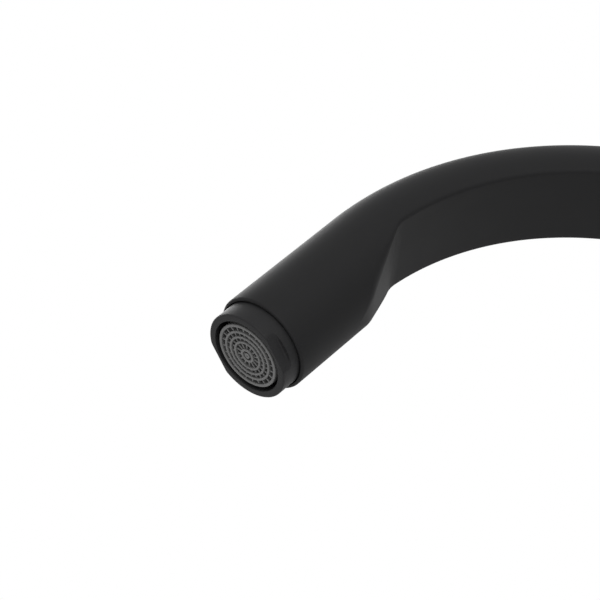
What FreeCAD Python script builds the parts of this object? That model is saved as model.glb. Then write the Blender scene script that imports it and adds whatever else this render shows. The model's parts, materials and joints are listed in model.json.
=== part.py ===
import FreeCAD, Part
import math
import os
import re

import Sketcher

# A deck-mounted kitchen mixer with a swivelling high-arc spout, in millimetres.
#
# The origin is where the column's axis meets the worktop's upper face. +Z points up, +X towards the
# outlet and +Y towards the lever. Three axes carry the pieces: the column's (the row's own Z), the
# cartridge's (level, along +Y) and the outlet's (sloping down and away from the column).
#
# The spout is a round tube bent through one long arc. Its inner side is cut to a flat underside that
# follows the bend, and at each end a short ramp runs the flat out into the full round.

SIZES = {
    # Spout tube and its bend
    "tube_radius": 15.0,
    "arch_radius": 92.2,            # of the tube's axis
    "arch_height": 270.0,           # centre of the bend, above the worktop
    "outlet_angle": 49.7,           # outlet axis below the horizontal, degrees
    "barrel_length": 46.4,          # straight end, from the bend to the rim
    "rim_round": 0.8,
    # Flat underside
    "flat_depth": 5.1,              # below the tube's axis
    "flat_edge_round": 1.2,
    "ramp_lead": 17.0,              # how far beyond the bend's end the ramp runs out of the tube
    "ramp_angle": 22.0,             # ramp to tube axis, degrees
    "ramp_hollow": 10.0,            # radius of the blend from the flat into the ramp
    "cut_overrun": 5.0,             # how far the cutting outline stands clear of the tube
    # Water passage in the spout
    "duct_radius": 7.8,
    "duct_offset": 4.0,             # outwards from the tube's axis, away from the flat
    "column_bore": 12.0,
    "column_bore_margin": 6.0,      # solid length between the bore and the ramp's toe
    # Socket for the outlet nozzle
    "rim_wall": 0.9,
    "rim_bore_depth": 4.0,
    "outlet_thread": 12.0,
    "outlet_thread_depth": 15.0,
    "thread_gap": 0.1,
    # Outlet nozzle
    "nozzle_gap": 0.41,             # round the nozzle, in the rim's bore
    "nozzle_reach": 6.5,            # out of the barrel
    "nozzle_shoulder_gap": 0.5,
    "nozzle_thread_wall": 1.0,      # between the outer thread and the insert's flange
    "nozzle_ledge": 0.4,            # width of the ledge that the insert's flange rests on
    "nozzle_mouth_step": 0.95,      # from the nozzle's bore out to its mouth
    "nozzle_mouth_depth": 7.5,
    "nozzle_edge": 0.5,
    "spanner_flat": 12.5,           # from the nozzle's axis
    "spanner_flat_length": 3.5,
    "spanner_flat_turn": 141.0,     # from the spout's outer side, degrees
    "outlet_washer_bore": 9.0,
    "outlet_washer_height": 1.5,
    # Aerator insert and what lies over it
    "insert_gap": 0.25,
    "insert_recess": 0.3,
    "insert_wall": 0.9,
    "insert_flange_height": 1.5,
    "insert_ledge_depth": 4.0,
    "grid_depth": 3.0,
    "grid_floor": 1.2,
    "grid_rib": 3.6,                # half the angle that one rib takes, degrees
    "disc_plate_height": 1.5,
    "regulator_height": 2.0,
    "screen_thickness": 0.8,
    "screen_rise": 3.0,
    "jet_radius": 0.7,
    "jet_circle": 6.0,
    "jet_count": 12,
    # Cells of the outlet grid, ring by ring, from the rim inwards
    "grid_rim": 0.95,
    "grid_wall": 0.7,               # between one ring of cells and the next
    "cells_one_width": 1.3,
    "cells_one_count": 24,
    "cells_two_width": 1.0,
    "cells_two_count": 24,
    "cells_three_width": 0.9,
    "cells_three_count": 20,
    "cells_four_width": 1.8,
    "cells_four_count": 10,
    # Swivel joint between spout and body
    "swivel_washer_height": 1.0,
    "swivel_washer_radius": 17.5,
    "swivel_bore": 12.0,
    "swivel_limit": 75.0,           # each way from straight ahead, degrees
    "spigot_play": 0.5,
    "spigot_wall": 1.3,             # inside the seals' grooves
    "spigot_length": 34.0,
    "spigot_thread_length": 12.0,
    "spigot_end_gap": 1.0,
    "slide_ring_height": 4.0,
    "slide_ring_groove_depth": 1.1,
    "slide_ring_play": 0.05,
    "seal_groove_depth": 2.2,
    "seal_groove_height": 3.2,
    "seal_section": 1.3,
    "upper_ring_drop": 2.5,         # all four drops are from the spout's foot
    "stop_drop": 12.0,
    "upper_seal_drop": 19.0,
    "lower_seal_drop": 24.6,
    "lower_ring_drop": 28.5,
    "stop_groove_depth": 1.7,
    "stop_tip_radius": 2.0,
    "stop_tip_play": 0.4,
    "stop_screw_radius": 2.5,
    "stop_screw_recess": 1.0,
    "stop_play_angle": 1.5,
    "collar_wall": 3.35,
    "collar_height": 14.0,
    "collar_chamfer": 2.0,
    "collar_gap": 0.3,
    "slip_gap": 0.15,
    # Mixer body and its base
    "body_radius": 24.0,
    "body_height": 140.0,
    "body_edge_round": 3.0,
    "body_foot_wall": 3.5,
    "gasket_height": 1.5,
    "gasket_inset": 1.0,            # inside the flange's edge
    "flange_height": 6.0,
    "flange_brim": 3.5,             # outside the column
    "flange_chamfer": 2.0,
    "boss_inset": 1.0,              # narrower than the column
    "boss_roof": 1.0,               # solid between the boss and the spout's bore above it
    "boss_blend": 3.0,
    "boss_chamfer": 0.8,
    # Fixing below the worktop
    "shank_radius": 16.5,
    "shank_wall": 3.0,
    "shank_drop": 62.0,
    "shank_hold": 14.0,
    "shank_chamfer": 1.0,
    "shank_clear": 0.5,
    "worktop": 20.0,
    "deck_washer_radius": 27.0,
    "deck_washer_height": 3.0,
    "clamp_plate_height": 2.5,
    "clamp_nut_gap": 6.0,
    "clamp_nut_height": 10.0,
    "clamp_screw_radius": 2.5,
    "clamp_screw_wall": 1.75,       # of the nut, inside and outside each screw
    "clamp_screw_tail": 5.0,
    "clamp_screw_count": 3,
    "screw_socket": 1.25,           # inner radius of a screw's hexagon socket
    "screw_socket_depth": 2.0,
    # Water ways in the body
    "inlet_thread": 5.0,
    "inlet_thread_depth": 12.0,
    "inlet_offset": 8.0,
    "port_radius": 3.5,
    "port_drop": 5.0,               # inlet ports below the cartridge's axis
    "mixed_port_rise": 9.0,         # mixed port above it
    "mixed_port_radius": 4.0,
    # Cartridge
    "cartridge_seat": 8.0,
    "cartridge_bore": 17.6,
    "cartridge_gap": 0.2,
    "seat_seal_height": 1.0,
    "cartridge_base_height": 4.0,
    "fixed_disc_height": 4.0,
    "moving_disc_height": 3.5,
    "carrier_height": 5.0,
    "rotor_gap": 0.5,
    "rotor_flange_height": 2.0,
    "rotor_flange_play": 0.4,
    "rotor_radius": 12.0,
    "rotor_lip_gap": 0.3,
    "shell_lip_height": 2.7,
    "shell_wall": 2.0,
    "nut_height": 7.0,
    "nut_thread_step": 0.9,         # outside the cartridge's bore
    "nut_bore_play": 1.0,
    "nut_notch": 1.5,
    "nut_notch_count": 6,
    "mouth_margin": 2.0,
    "pivot_depth": 5.0,             # lever pivot, in from the mouth
    "rotor_top": 3.5,               # above the lever pivot
    "fixed_disc_play": 0.6,
    "moving_disc_play": 1.5,        # to the shell, at the end of the throw
    "moving_disc_throw": 3.8,
    "carrier_inset": 0.5,
    "disc_recess": 5.5,
    "stem_ball": 3.0,
    "stem_ball_gap": 0.15,
    "stem_ball_lift": 0.4,
    "stem_neck": 2.4,
    "stem_half": 4.0,
    "stem_heel": 5.0,
    "stem_tip_gap": 0.6,
    "slot_side_gap": 0.3,
    "slot_half_length": 7.5,
    "pin_radius": 1.5,
    "pin_gap": 0.05,
    "pin_inset": 0.7,
    # Dome, lever hub and lever
    "dome_edge": 1.5,               # inside the boss's edge
    "dome_wall": 1.6,
    "dome_hole": 12.4,
    "dome_skirt_wall": 1.4,
    "dome_foot_height": 1.2,
    "dome_nut_gap": 0.3,
    "hub_gap": 0.5,
    "hub_inset": 1.5,               # narrower than the dome
    "hub_rim_wall": 2.5,
    "hub_reach": 35.0,              # hub's end, out from the lever pivot
    "hub_roof": 4.0,                # solid outside the stem's socket
    "hub_chamfer": 1.5,
    "socket_gap": 0.1,
    "rod_radius": 4.5,
    "rod_length": 86.0,
    "rod_stud_radius": 3.0,
    "rod_stud_length": 10.0,
    "rod_seat_depth": 1.2,          # spot face for the rod, into the hub's side
    "rod_tip_round": 2.5,
    "rod_reach": 24.5,              # rod's axis, out from the lever pivot
    "grub_radius": 2.5,
    "grub_length": 8.0,
    "plug_radius": 3.0,
    "plug_inset": 0.4,
    "plug_length": 4.0,
    "plug_gap": 0.1,
    # How far a cut, or a piece that joins another, runs past the face it meets
    "overlap": 1.0,
}

document = FreeCAD.newDocument("kitchen_mixer")
sheet = document.addObject("Spreadsheet::Sheet", "Sizes")
for row, (alias, number) in enumerate(SIZES.items(), start=1):
    sheet.set("A%d" % row, alias)
    sheet.set("B%d" % row, str(number))
    sheet.setAlias("B%d" % row, alias)
document.recompute()

UP = FreeCAD.Vector(0, 0, 1)


def cells(formula):
    """The formula with each size name pointed at its cell in the sheet."""
    def cell(word):
        return "Sizes." + word.group() if word.group() in SIZES else word.group()
    return re.sub("[a-z_]+", cell, formula)


def size(formula):
    """The number that a formula in size names stands for."""
    return float(sheet.evalExpression(cells(formula)))


def plus(*steps):
    """A level reached by adding one size or level to another."""
    return "(" + " + ".join(steps) + ")"


# Radii about the column's axis
SPIGOT = "(swivel_bore - spigot_play)"
RING_GROOVE = plus(SPIGOT, "-slide_ring_groove_depth")
SEAL_GROOVE = plus(SPIGOT, "-seal_groove_depth")
SPIGOT_BORE = plus(SEAL_GROOVE, "-spigot_wall")
STOP_FLOOR = plus(SPIGOT, "-stop_groove_depth")
COLLAR_BORE = "(tube_radius + slip_gap)"
COLLAR = plus(COLLAR_BORE, "collar_wall")
FLANGE = "(body_radius + flange_brim)"
GASKET = plus(FLANGE, "-gasket_inset")
BODY_FOOT = "(shank_radius + body_foot_wall)"
SHANK_BORE = "(shank_radius - shank_wall)"
WASHER_BORE = "(shank_radius + shank_clear)"
SCREW_CIRCLE = "(shank_radius + clamp_screw_wall + clamp_screw_radius)"
NUT_HALF_FLATS = plus(SCREW_CIRCLE, "clamp_screw_radius", "clamp_screw_wall")

# Radii about the outlet's axis
RIM_BORE = "(tube_radius - rim_wall)"
NOZZLE = plus(RIM_BORE, "-nozzle_gap")
LEDGE_BORE = "(outlet_thread - nozzle_thread_wall)"
NOZZLE_BORE = plus(LEDGE_BORE, "-nozzle_ledge")
NOZZLE_MOUTH = plus(NOZZLE_BORE, "nozzle_mouth_step")
INSERT = plus(NOZZLE_BORE, "-insert_gap")
INSERT_FLANGE = plus(LEDGE_BORE, "-slip_gap")
INSERT_BORE = plus(INSERT, "-insert_wall")

# Radii about the cartridge's axis
BOSS = "(body_radius - boss_inset)"
CARTRIDGE = "(cartridge_bore - cartridge_gap)"
SHELL_BORE = plus(CARTRIDGE, "-shell_wall")
FIXED_DISC = plus(SHELL_BORE, "-fixed_disc_play")
MOVING_DISC = plus(SHELL_BORE, "-moving_disc_play", "-moving_disc_throw / 2")
CARRIER = plus(MOVING_DISC, "-carrier_inset")
ROTOR_FLANGE = plus(SHELL_BORE, "-rotor_flange_play")
NUT_THREAD = "(cartridge_bore + nut_thread_step)"
NUT_BORE = "(rotor_radius + nut_bore_play)"
DOME = "sqrt((%s - dome_edge)^2 + pivot_depth^2)" % BOSS
HUB = plus(DOME, "-hub_inset")
HUB_RIM = plus(HUB, "-hub_rim_wall")
HUB_CAVITY = plus(DOME, "hub_gap")
ROD_SEAT = plus(HUB, "-rod_seat_depth")

# Levels on the column's axis
FLANGE_TOP = plus("gasket_height", "flange_height")
SHANK_TOP = plus("gasket_height", "shank_hold")
FOOT = plus("body_height", "swivel_washer_height")
SPIGOT_LOW = plus(FOOT, "-spigot_length")
SWIVEL_FLOOR = plus(SPIGOT_LOW, "-spigot_end_gap")
SPIGOT_TOP = plus(FOOT, "spigot_thread_length")
STOP_LEVEL = plus(FOOT, "-stop_drop")
BORE_TOP = plus("arch_height", "-ramp_lead", "-column_bore_margin")
PLATE_TOP = "(-worktop - deck_washer_height)"
PLATE_LOW = plus(PLATE_TOP, "-clamp_plate_height")
NUT_HIGH = plus(PLATE_LOW, "-clamp_nut_gap")
NUT_LOW = plus(NUT_HIGH, "-clamp_nut_height")
SCREW_LOW = plus(NUT_LOW, "-clamp_screw_tail")
CARTRIDGE_LEVEL = plus(SWIVEL_FLOOR, "-boss_roof", "-" + BOSS)

# Levels on the cartridge's axis, counted out from the column's axis
SEAL_TOP = plus("cartridge_seat", "seat_seal_height")
BASE_TOP = plus(SEAL_TOP, "cartridge_base_height")
FIXED_TOP = plus(BASE_TOP, "fixed_disc_height")
MOVING_TOP = plus(FIXED_TOP, "moving_disc_height")
CARRIER_TOP = plus(MOVING_TOP, "carrier_height")
ROTOR_LOW = plus(CARRIER_TOP, "rotor_gap")
ROTOR_STEP = plus(ROTOR_LOW, "rotor_flange_height")
LIP_LOW = plus(ROTOR_STEP, "rotor_lip_gap")
SHELL_TOP = plus(LIP_LOW, "shell_lip_height")
NUT_TOP = plus(SHELL_TOP, "nut_height")
MOUTH = plus(NUT_TOP, "mouth_margin")
PIVOT = plus(MOUTH, "-pivot_depth")
HUB_LOW = plus(PIVOT, "sqrt(%s^2 - %s^2)" % (HUB_CAVITY, HUB_RIM))
HUB_END = plus(PIVOT, "hub_reach")
SOCKET_END = plus(HUB_END, "-hub_roof")
ROD_AXIS = plus(PIVOT, "rod_reach")
BALL_LEVEL = plus(MOVING_TOP, "stem_ball_lift", "stem_ball")

# Levels on the outlet's axis, counted from the barrel's rim up into the spout
NOZZLE_FACE = "(-nozzle_reach)"
MOUTH_FLOOR = plus(NOZZLE_FACE, "nozzle_mouth_depth")
NOZZLE_TOP = "(outlet_thread_depth - outlet_washer_height)"
NOZZLE_STEP = "(rim_bore_depth - nozzle_shoulder_gap)"
LEDGE = plus(NOZZLE_TOP, "-insert_ledge_depth")
INSERT_FACE = plus(NOZZLE_FACE, "insert_recess")
INSERT_TOP = plus(LEDGE, "insert_flange_height")
PLATE_HIGH = plus(INSERT_TOP, "-regulator_height")
PLATE_SEAT = plus(PLATE_HIGH, "-disc_plate_height")
GRID_TOP = plus(INSERT_FACE, "grid_depth")
CHAMBER_LOW = plus(GRID_TOP, "grid_floor")

# Centre of the barrel's rim
RIM_X = "(arch_radius * (1 + sin(outlet_angle)) + barrel_length * cos(outlet_angle))"
RIM_Z = "(arch_height + arch_radius * cos(outlet_angle) - barrel_length * sin(outlet_angle))"


def bind(thing, name, formula):
    """Ties a property of an object to the sheet."""
    thing.setExpression(name, cells(formula))


def new_body(label):
    """A body in its own frame, with its label."""
    body = document.addObject("PartDesign::Body", label)
    body.Label = label
    return body


def on_cartridge_axis(thing):
    """Lays a sub-part drawn along Z on the cartridge's axis; its own -Y points up."""
    thing.Placement = FreeCAD.Placement(FreeCAD.Vector(), FreeCAD.Rotation(FreeCAD.Vector(1, 0, 0), -90))
    bind(thing, "Placement.Base.z", CARTRIDGE_LEVEL)


def on_outlet_axis(thing):
    """Lays a sub-part drawn along Z on the outlet's axis, from the rim up into the spout."""
    tilt = FreeCAD.Rotation(FreeCAD.Vector(0, -1, 0), size("90 - outlet_angle"))
    thing.Placement = FreeCAD.Placement(FreeCAD.Vector(), tilt)
    bind(thing, "Placement.Base.x", RIM_X)
    bind(thing, "Placement.Base.z", RIM_Z)
    bind(thing, "Placement.Rotation.Angle", "90 - outlet_angle")


def across_hub(thing):
    """Lays a sub-part drawn along Z across the lever hub, pointing along +X."""
    thing.Placement = FreeCAD.Placement(FreeCAD.Vector(), FreeCAD.Rotation(FreeCAD.Vector(0, 1, 0), 90))
    bind(thing, "Placement.Base.y", ROD_AXIS)
    bind(thing, "Placement.Base.z", CARTRIDGE_LEVEL)


def sketch_on(body, role, name, lift=None, turn=None):
    """A sketch on an origin plane of the body, lifted along and turned about the plane's normal."""
    plane = [feature for feature in body.Origin.OriginFeatures if feature.Role == role][0]
    sketch = body.newObject("Sketcher::SketchObject", body.Label + "_" + name)
    sketch.AttachmentSupport = [(plane, "")]
    sketch.MapMode = "FlatFace"
    if turn:
        sketch.AttachmentOffset = FreeCAD.Placement(FreeCAD.Vector(), FreeCAD.Rotation(UP, size(turn)))
        bind(sketch, "AttachmentOffset.Rotation.Angle", turn)
    if lift:
        bind(sketch, "AttachmentOffset.Base.z", lift)
    return sketch


def place_point(sketch, curve, end, across, along):
    """Ties one point of a curve to formulas for its coordinates; None leaves one to the curve."""
    for kind, formula in (("DistanceX", across), ("DistanceY", along)):
        if formula:
            number = sketch.addConstraint(Sketcher.Constraint(kind, -1, 1, curve, end, size(formula)))
            bind(sketch, "Constraints[%d]" % number, formula)


def polygon(sketch, corners):
    """A closed outline of straight sides through corners given as pairs of formulas."""
    points = [FreeCAD.Vector(size(across), size(along), 0) for across, along in corners]
    first = sketch.GeometryCount
    for number, point in enumerate(points):
        sketch.addGeometry(Part.LineSegment(point, points[(number + 1) % len(points)]))
    for number, (across, along) in enumerate(corners):
        following = (number + 1) % len(corners)
        sketch.addConstraint(Sketcher.Constraint("Coincident", first + number, 2, first + following, 1))
        place_point(sketch, first + number, 1, across, along)


def circles(sketch, radius, centres):
    """Circles of one radius about centres given as pairs of formulas."""
    for across, along in centres:
        centre = FreeCAD.Vector(size(across), size(along), 0)
        curve = sketch.addGeometry(Part.Circle(centre, UP, size(radius)))
        place_point(sketch, curve, 3, across, along)
        number = sketch.addConstraint(Sketcher.Constraint("Radius", curve, size(radius)))
        bind(sketch, "Constraints[%d]" % number, radius)


def rectangle(low_x, high_x, low_y, high_y):
    """The corners of an upright rectangle."""
    return [(low_x, low_y), (high_x, low_y), (high_x, high_y), (low_x, high_y)]


def turned(label, corners):
    """A body turned about Z from corners given as (radius, level)."""
    body = new_body(label)
    outline = sketch_on(body, "XZ_Plane", "outline")
    polygon(outline, corners)
    turn = body.newObject("PartDesign::Revolution", label + "_turn")
    turn.Profile = outline
    turn.ReferenceAxis = (outline, ["V_Axis"])
    turn.Angle = 360
    return body


def ring(label, inner, outer, low, high):
    """A plain ring about Z."""
    return turned(label, rectangle(inner, outer, low, high))


def pad(body, sketch, length, backwards=False):
    """Raises a sketch along its normal, or backwards, by a length."""
    feature = body.newObject("PartDesign::Pad", sketch.Name + "_pad")
    feature.Profile = sketch
    bind(feature, "Length", length)
    feature.Reversed = backwards
    return feature


def pocket(body, sketch, length=None, forwards=False):
    """Cuts a sketch into the body against its normal, or forwards, by a length or right through."""
    feature = body.newObject("PartDesign::Pocket", sketch.Name + "_cut")
    feature.Profile = sketch
    feature.Reversed = forwards
    if length:
        bind(feature, "Length", length)
    else:
        feature.Type = "ThroughAll"
    return feature


def around(body, feature, sketch, count):
    """Repeats a feature about Z."""
    pattern = body.newObject("PartDesign::PolarPattern", feature.Name + "_pattern")
    pattern.Originals = [feature]
    pattern.Axis = (sketch, ["N_Axis"])
    pattern.Angle = 360
    bind(pattern, "Occurrences", count)
    body.Tip = pattern


def sphere(body, kind, name, radius, level):
    """Adds a ball to the body, or takes one out of it, with its centre on Z."""
    ball = body.newObject("PartDesign::%sSphere" % kind, body.Label + "_" + name)
    bind(ball, "Radius", radius)
    bind(ball, "Placement.Base.z", level)
    return ball


def dress(body, kind, amount, wanted):
    """Rounds or chamfers the edges of the body's last feature that a test picks out."""
    document.recompute()
    last = body.Tip
    numbered = enumerate(last.Shape.Edges, start=1)
    edges = ["Edge%d" % number for number, edge in numbered if wanted(edge)]
    feature = body.newObject("PartDesign::" + kind, last.Name + "_" + kind.lower())
    feature.Base = (last, edges)
    bind(feature, "Radius" if kind == "Fillet" else "Size", amount)


def round_edge(edge, radius, centre):
    """Whether an edge is part of a circle of this radius about this centre."""
    curve = edge.Curve
    if not isinstance(curve, Part.Circle):
        return False
    return abs(curve.Radius - radius) < 1e-3 and (curve.Center - centre).Length < 1e-3


def dress_ring(body, kind, amount, radius, level):
    """Rounds or chamfers one turned edge of the body, given by its radius and level."""
    centre = FreeCAD.Vector(0, 0, size(level))
    dress(body, kind, amount, lambda edge: round_edge(edge, size(radius), centre))


def make_base():
    """Gasket and flange on the worktop, and the threaded shank with its clamp below it."""
    ring("base_gasket", WASHER_BORE, GASKET, "0", "gasket_height")
    flange = ring("base_flange", plus(BODY_FOOT, "slip_gap"), FLANGE, "gasket_height", FLANGE_TOP)
    dress_ring(flange, "Chamfer", "flange_chamfer", FLANGE, FLANGE_TOP)
    shank = ring("mounting_shank", SHANK_BORE, "shank_radius", "-shank_drop", SHANK_TOP)
    dress_ring(shank, "Chamfer", "shank_chamfer", "shank_radius", "-shank_drop")
    ring("deck_washer", WASHER_BORE, "deck_washer_radius", PLATE_TOP, "-worktop")
    ring("clamp_plate", WASHER_BORE, "deck_washer_radius", PLATE_LOW, PLATE_TOP)
    make_clamp_nut()
    make_clamp_screws()


def hexagon(half_flats):
    """The corners of a hexagon that lies between flats at this distance from its centre."""
    reach = "%s / cos(30)" % half_flats
    turns = range(0, 360, 60)
    return [("%s * cos(%d)" % (reach, turn), "%s * sin(%d)" % (reach, turn)) for turn in turns]


def make_clamp_nut():
    """The hexagonal nut on the shank, tapped for its clamp screws."""
    nut = new_body("clamp_nut")
    outline = sketch_on(nut, "XY_Plane", "outline", lift=NUT_LOW)
    polygon(outline, hexagon(NUT_HALF_FLATS))
    circles(outline, "(shank_radius + thread_gap)", [("0", "0")])
    pad(nut, outline, "clamp_nut_height")
    hole = sketch_on(nut, "XY_Plane", "screw_hole", lift=NUT_HIGH)
    circles(hole, "(clamp_screw_radius + thread_gap)", [(SCREW_CIRCLE, "0")])
    around(nut, pocket(nut, hole), hole, "clamp_screw_count")


def make_clamp_screws():
    """Socket set screws through the nut, whose tips press on the clamp plate."""
    screws = []
    for number in range(int(size("clamp_screw_count"))):
        shank = document.addObject("Part::Cylinder", "clamp_screw_%d" % (number + 1))
        bind(shank, "Radius", "clamp_screw_radius")
        bind(shank, "Height", plus(PLATE_LOW, "-" + SCREW_LOW))
        socket = document.addObject("Part::Prism", "clamp_screw_socket_%d" % (number + 1))
        socket.Polygon = 6
        bind(socket, "Circumradius", "screw_socket / cos(30)")
        bind(socket, "Height", "screw_socket_depth")
        for piece in (shank, socket):
            angle = "%d * 360 / clamp_screw_count" % number
            bind(piece, "Placement.Base.x", SCREW_CIRCLE + " * cos(%s)" % angle)
            bind(piece, "Placement.Base.y", SCREW_CIRCLE + " * sin(%s)" % angle)
            bind(piece, "Placement.Base.z", SCREW_LOW)
        screw = document.addObject("Part::Cut", "clamp_screw_cut_%d" % (number + 1))
        screw.Base = shank
        screw.Tool = socket
        screws.append(screw)
    group = document.addObject("Part::Compound", "clamp_screws")
    group.Label = "clamp_screws"
    group.Links = screws


def make_mixer_body():
    """The cast body: column, side boss for the cartridge, water ways and the spout's bore."""
    shank_hole = "(shank_radius + thread_gap)"
    body = turned("mixer_body", [
        ("0", SHANK_TOP), (shank_hole, SHANK_TOP), (shank_hole, "gasket_height"),
        (BODY_FOOT, "gasket_height"), (BODY_FOOT, FLANGE_TOP),
        ("body_radius", FLANGE_TOP), ("body_radius", "body_height"), ("0", "body_height")])
    dress_ring(body, "Fillet", "body_edge_round", "body_radius", "body_height")

    axis = [("0", CARTRIDGE_LEVEL)]
    boss = sketch_on(body, "XZ_Plane", "boss")
    circles(boss, BOSS, axis)
    pad(body, boss, MOUTH, backwards=True)
    dress_boss(body)
    swivel = sketch_on(body, "XY_Plane", "swivel_bore", lift="body_height")
    circles(swivel, "swivel_bore", [("0", "0")])
    pocket(body, swivel, "(body_height - %s)" % SWIVEL_FLOOR)
    bore = sketch_on(body, "XZ_Plane", "cartridge_bore", lift="-cartridge_seat")
    circles(bore, "cartridge_bore", axis)
    pocket(body, bore)
    thread = sketch_on(body, "XZ_Plane", "nut_thread", lift="-" + SHELL_TOP)
    circles(thread, NUT_THREAD, axis)
    pocket(body, thread)

    sides = ("-inlet_offset", "inlet_offset")
    ports = sketch_on(body, "XZ_Plane", "inlet_ports", lift="-cartridge_seat")
    port_level = plus(CARTRIDGE_LEVEL, "-port_drop")
    circles(ports, "port_radius", [(side, port_level) for side in sides])
    pocket(body, ports, "(cartridge_seat + port_radius)", forwards=True)
    risers = sketch_on(body, "XY_Plane", "inlet_risers", lift=SHANK_TOP)
    circles(risers, "port_radius", [(side, "0") for side in sides])
    pocket(body, risers, "(%s + port_radius - %s)" % (port_level, SHANK_TOP), forwards=True)
    inlets = sketch_on(body, "XY_Plane", "inlet_threads", lift=SHANK_TOP)
    circles(inlets, "inlet_thread", [(side, "0") for side in sides])
    pocket(body, inlets, "inlet_thread_depth", forwards=True)

    mixed_level = plus(CARTRIDGE_LEVEL, "mixed_port_rise")
    mixed = sketch_on(body, "XZ_Plane", "mixed_port", lift="-cartridge_seat")
    circles(mixed, "mixed_port_radius", [("0", mixed_level)])
    pocket(body, mixed, "(cartridge_seat + mixed_port_radius)", forwards=True)
    rise = sketch_on(body, "XY_Plane", "mixed_riser", lift=SWIVEL_FLOOR)
    circles(rise, "mixed_port_radius", [("0", "0")])
    pocket(body, rise, "(%s - %s + mixed_port_radius)" % (SWIVEL_FLOOR, mixed_level))

    stop = sketch_on(body, "YZ_Plane", "stop_hole")
    circles(stop, "stop_screw_radius", [("0", STOP_LEVEL)])
    pocket(body, stop)


def dress_boss(body):
    """Rounds the corner where the side boss leaves the column, and chamfers the boss's mouth."""
    def at_root(edge):
        middle = edge.valueAt((edge.FirstParameter + edge.LastParameter) / 2)
        return isinstance(edge.Curve, Part.BSplineCurve) and middle.y > 0

    mouth = FreeCAD.Vector(0, size(MOUTH), size(CARTRIDGE_LEVEL))
    dress(body, "Fillet", "boss_blend", at_root)
    dress(body, "Chamfer", "boss_chamfer", lambda edge: round_edge(edge, size(BOSS), mouth))


def make_spigot():
    """The turned spigot under the spout, with grooves for its rings, seals and stop."""
    corners = [(SPIGOT_BORE, SPIGOT_LOW), (SPIGOT, SPIGOT_LOW)]
    grooves = [
        ("lower_ring_drop", "slide_ring_height", RING_GROOVE),
        ("lower_seal_drop", "seal_groove_height", SEAL_GROOVE),
        ("upper_seal_drop", "seal_groove_height", SEAL_GROOVE),
        ("upper_ring_drop", "slide_ring_height", RING_GROOVE),
    ]
    for drop, height, floor in grooves:
        high = "(%s - %s)" % (FOOT, drop)
        low = "(%s - %s)" % (high, height)
        corners += [(SPIGOT, low), (floor, low), (floor, high), (SPIGOT, high)]
    thread = "(column_bore - thread_gap)"
    corners += [(SPIGOT, FOOT), (thread, FOOT), (thread, SPIGOT_TOP), (SPIGOT_BORE, SPIGOT_TOP)]
    spigot = turned("spigot", corners)

    stop = sketch_on(spigot, "XZ_Plane", "stop_groove")
    half = "(stop_tip_radius + stop_tip_play)"
    low = plus(STOP_LEVEL, "-" + half)
    high = plus(STOP_LEVEL, half)
    polygon(stop, rectangle("-swivel_bore", "-" + STOP_FLOOR, low, high))
    groove = spigot.newObject("PartDesign::Groove", "spigot_stop_cut")
    groove.Profile = stop
    groove.ReferenceAxis = (stop, ["V_Axis"])
    groove.Midplane = True
    tip_width = "2 * asin(stop_tip_radius / %s) / 1 deg" % STOP_FLOOR
    bind(groove, "Angle", "2 * swivel_limit + 2 * stop_play_angle + " + tip_width)


def make_swivel():
    """The rings, seals, washer, collar and stop screw that go with the spigot."""
    make_spigot()
    outer = "(swivel_bore - slide_ring_play)"
    for label, drop in (("upper_slide_ring", "upper_ring_drop"), ("lower_slide_ring", "lower_ring_drop")):
        high = "(%s - %s)" % (FOOT, drop)
        low = "(%s - slide_ring_height)" % high
        ring(label, plus(RING_GROOVE, "slide_ring_play"), outer,
             plus(low, "slide_ring_play"), plus(high, "-slide_ring_play"))
    seals = []
    for name, drop in (("upper_seal", "upper_seal_drop"), ("lower_seal", "lower_seal_drop")):
        seal = document.addObject("Part::Torus", name)
        bind(seal, "Radius1", "(%s - seal_section)" % outer)
        bind(seal, "Radius2", "seal_section")
        bind(seal, "Placement.Base.z", "(%s - %s - seal_groove_height / 2)" % (FOOT, drop))
        seals.append(seal)
    group = document.addObject("Part::Compound", "spigot_seals")
    group.Label = "spigot_seals"
    group.Links = seals
    ring("swivel_washer", "(swivel_bore + slip_gap)", "swivel_washer_radius", "body_height", FOOT)
    collar_top = plus(FOOT, "collar_height")
    collar = ring("spout_collar", COLLAR_BORE, COLLAR, plus(FOOT, "collar_gap"), collar_top)
    dress_ring(collar, "Chamfer", "collar_chamfer", COLLAR, collar_top)
    make_stop_screw()


def make_stop_screw():
    """The set screw at the back of the body whose tip runs in the spigot's stop groove."""
    tip = plus(STOP_FLOOR, "stop_tip_play")
    head = "(body_radius - stop_screw_recess)"
    thread = "(stop_screw_radius - pin_gap)"
    screw = turned("stop_screw", [
        ("0", tip), ("stop_tip_radius", tip), ("stop_tip_radius", "swivel_bore + slip_gap"),
        (thread, "swivel_bore + slip_gap"), (thread, head), ("0", head)])
    socket = sketch_on(screw, "XY_Plane", "socket", lift=head)
    polygon(socket, hexagon("screw_socket"))
    pocket(screw, socket, "screw_socket_depth")
    screw.Placement = FreeCAD.Placement(FreeCAD.Vector(), FreeCAD.Rotation(FreeCAD.Vector(0, 1, 0), -90))
    bind(screw, "Placement.Base.z", STOP_LEVEL)


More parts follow.
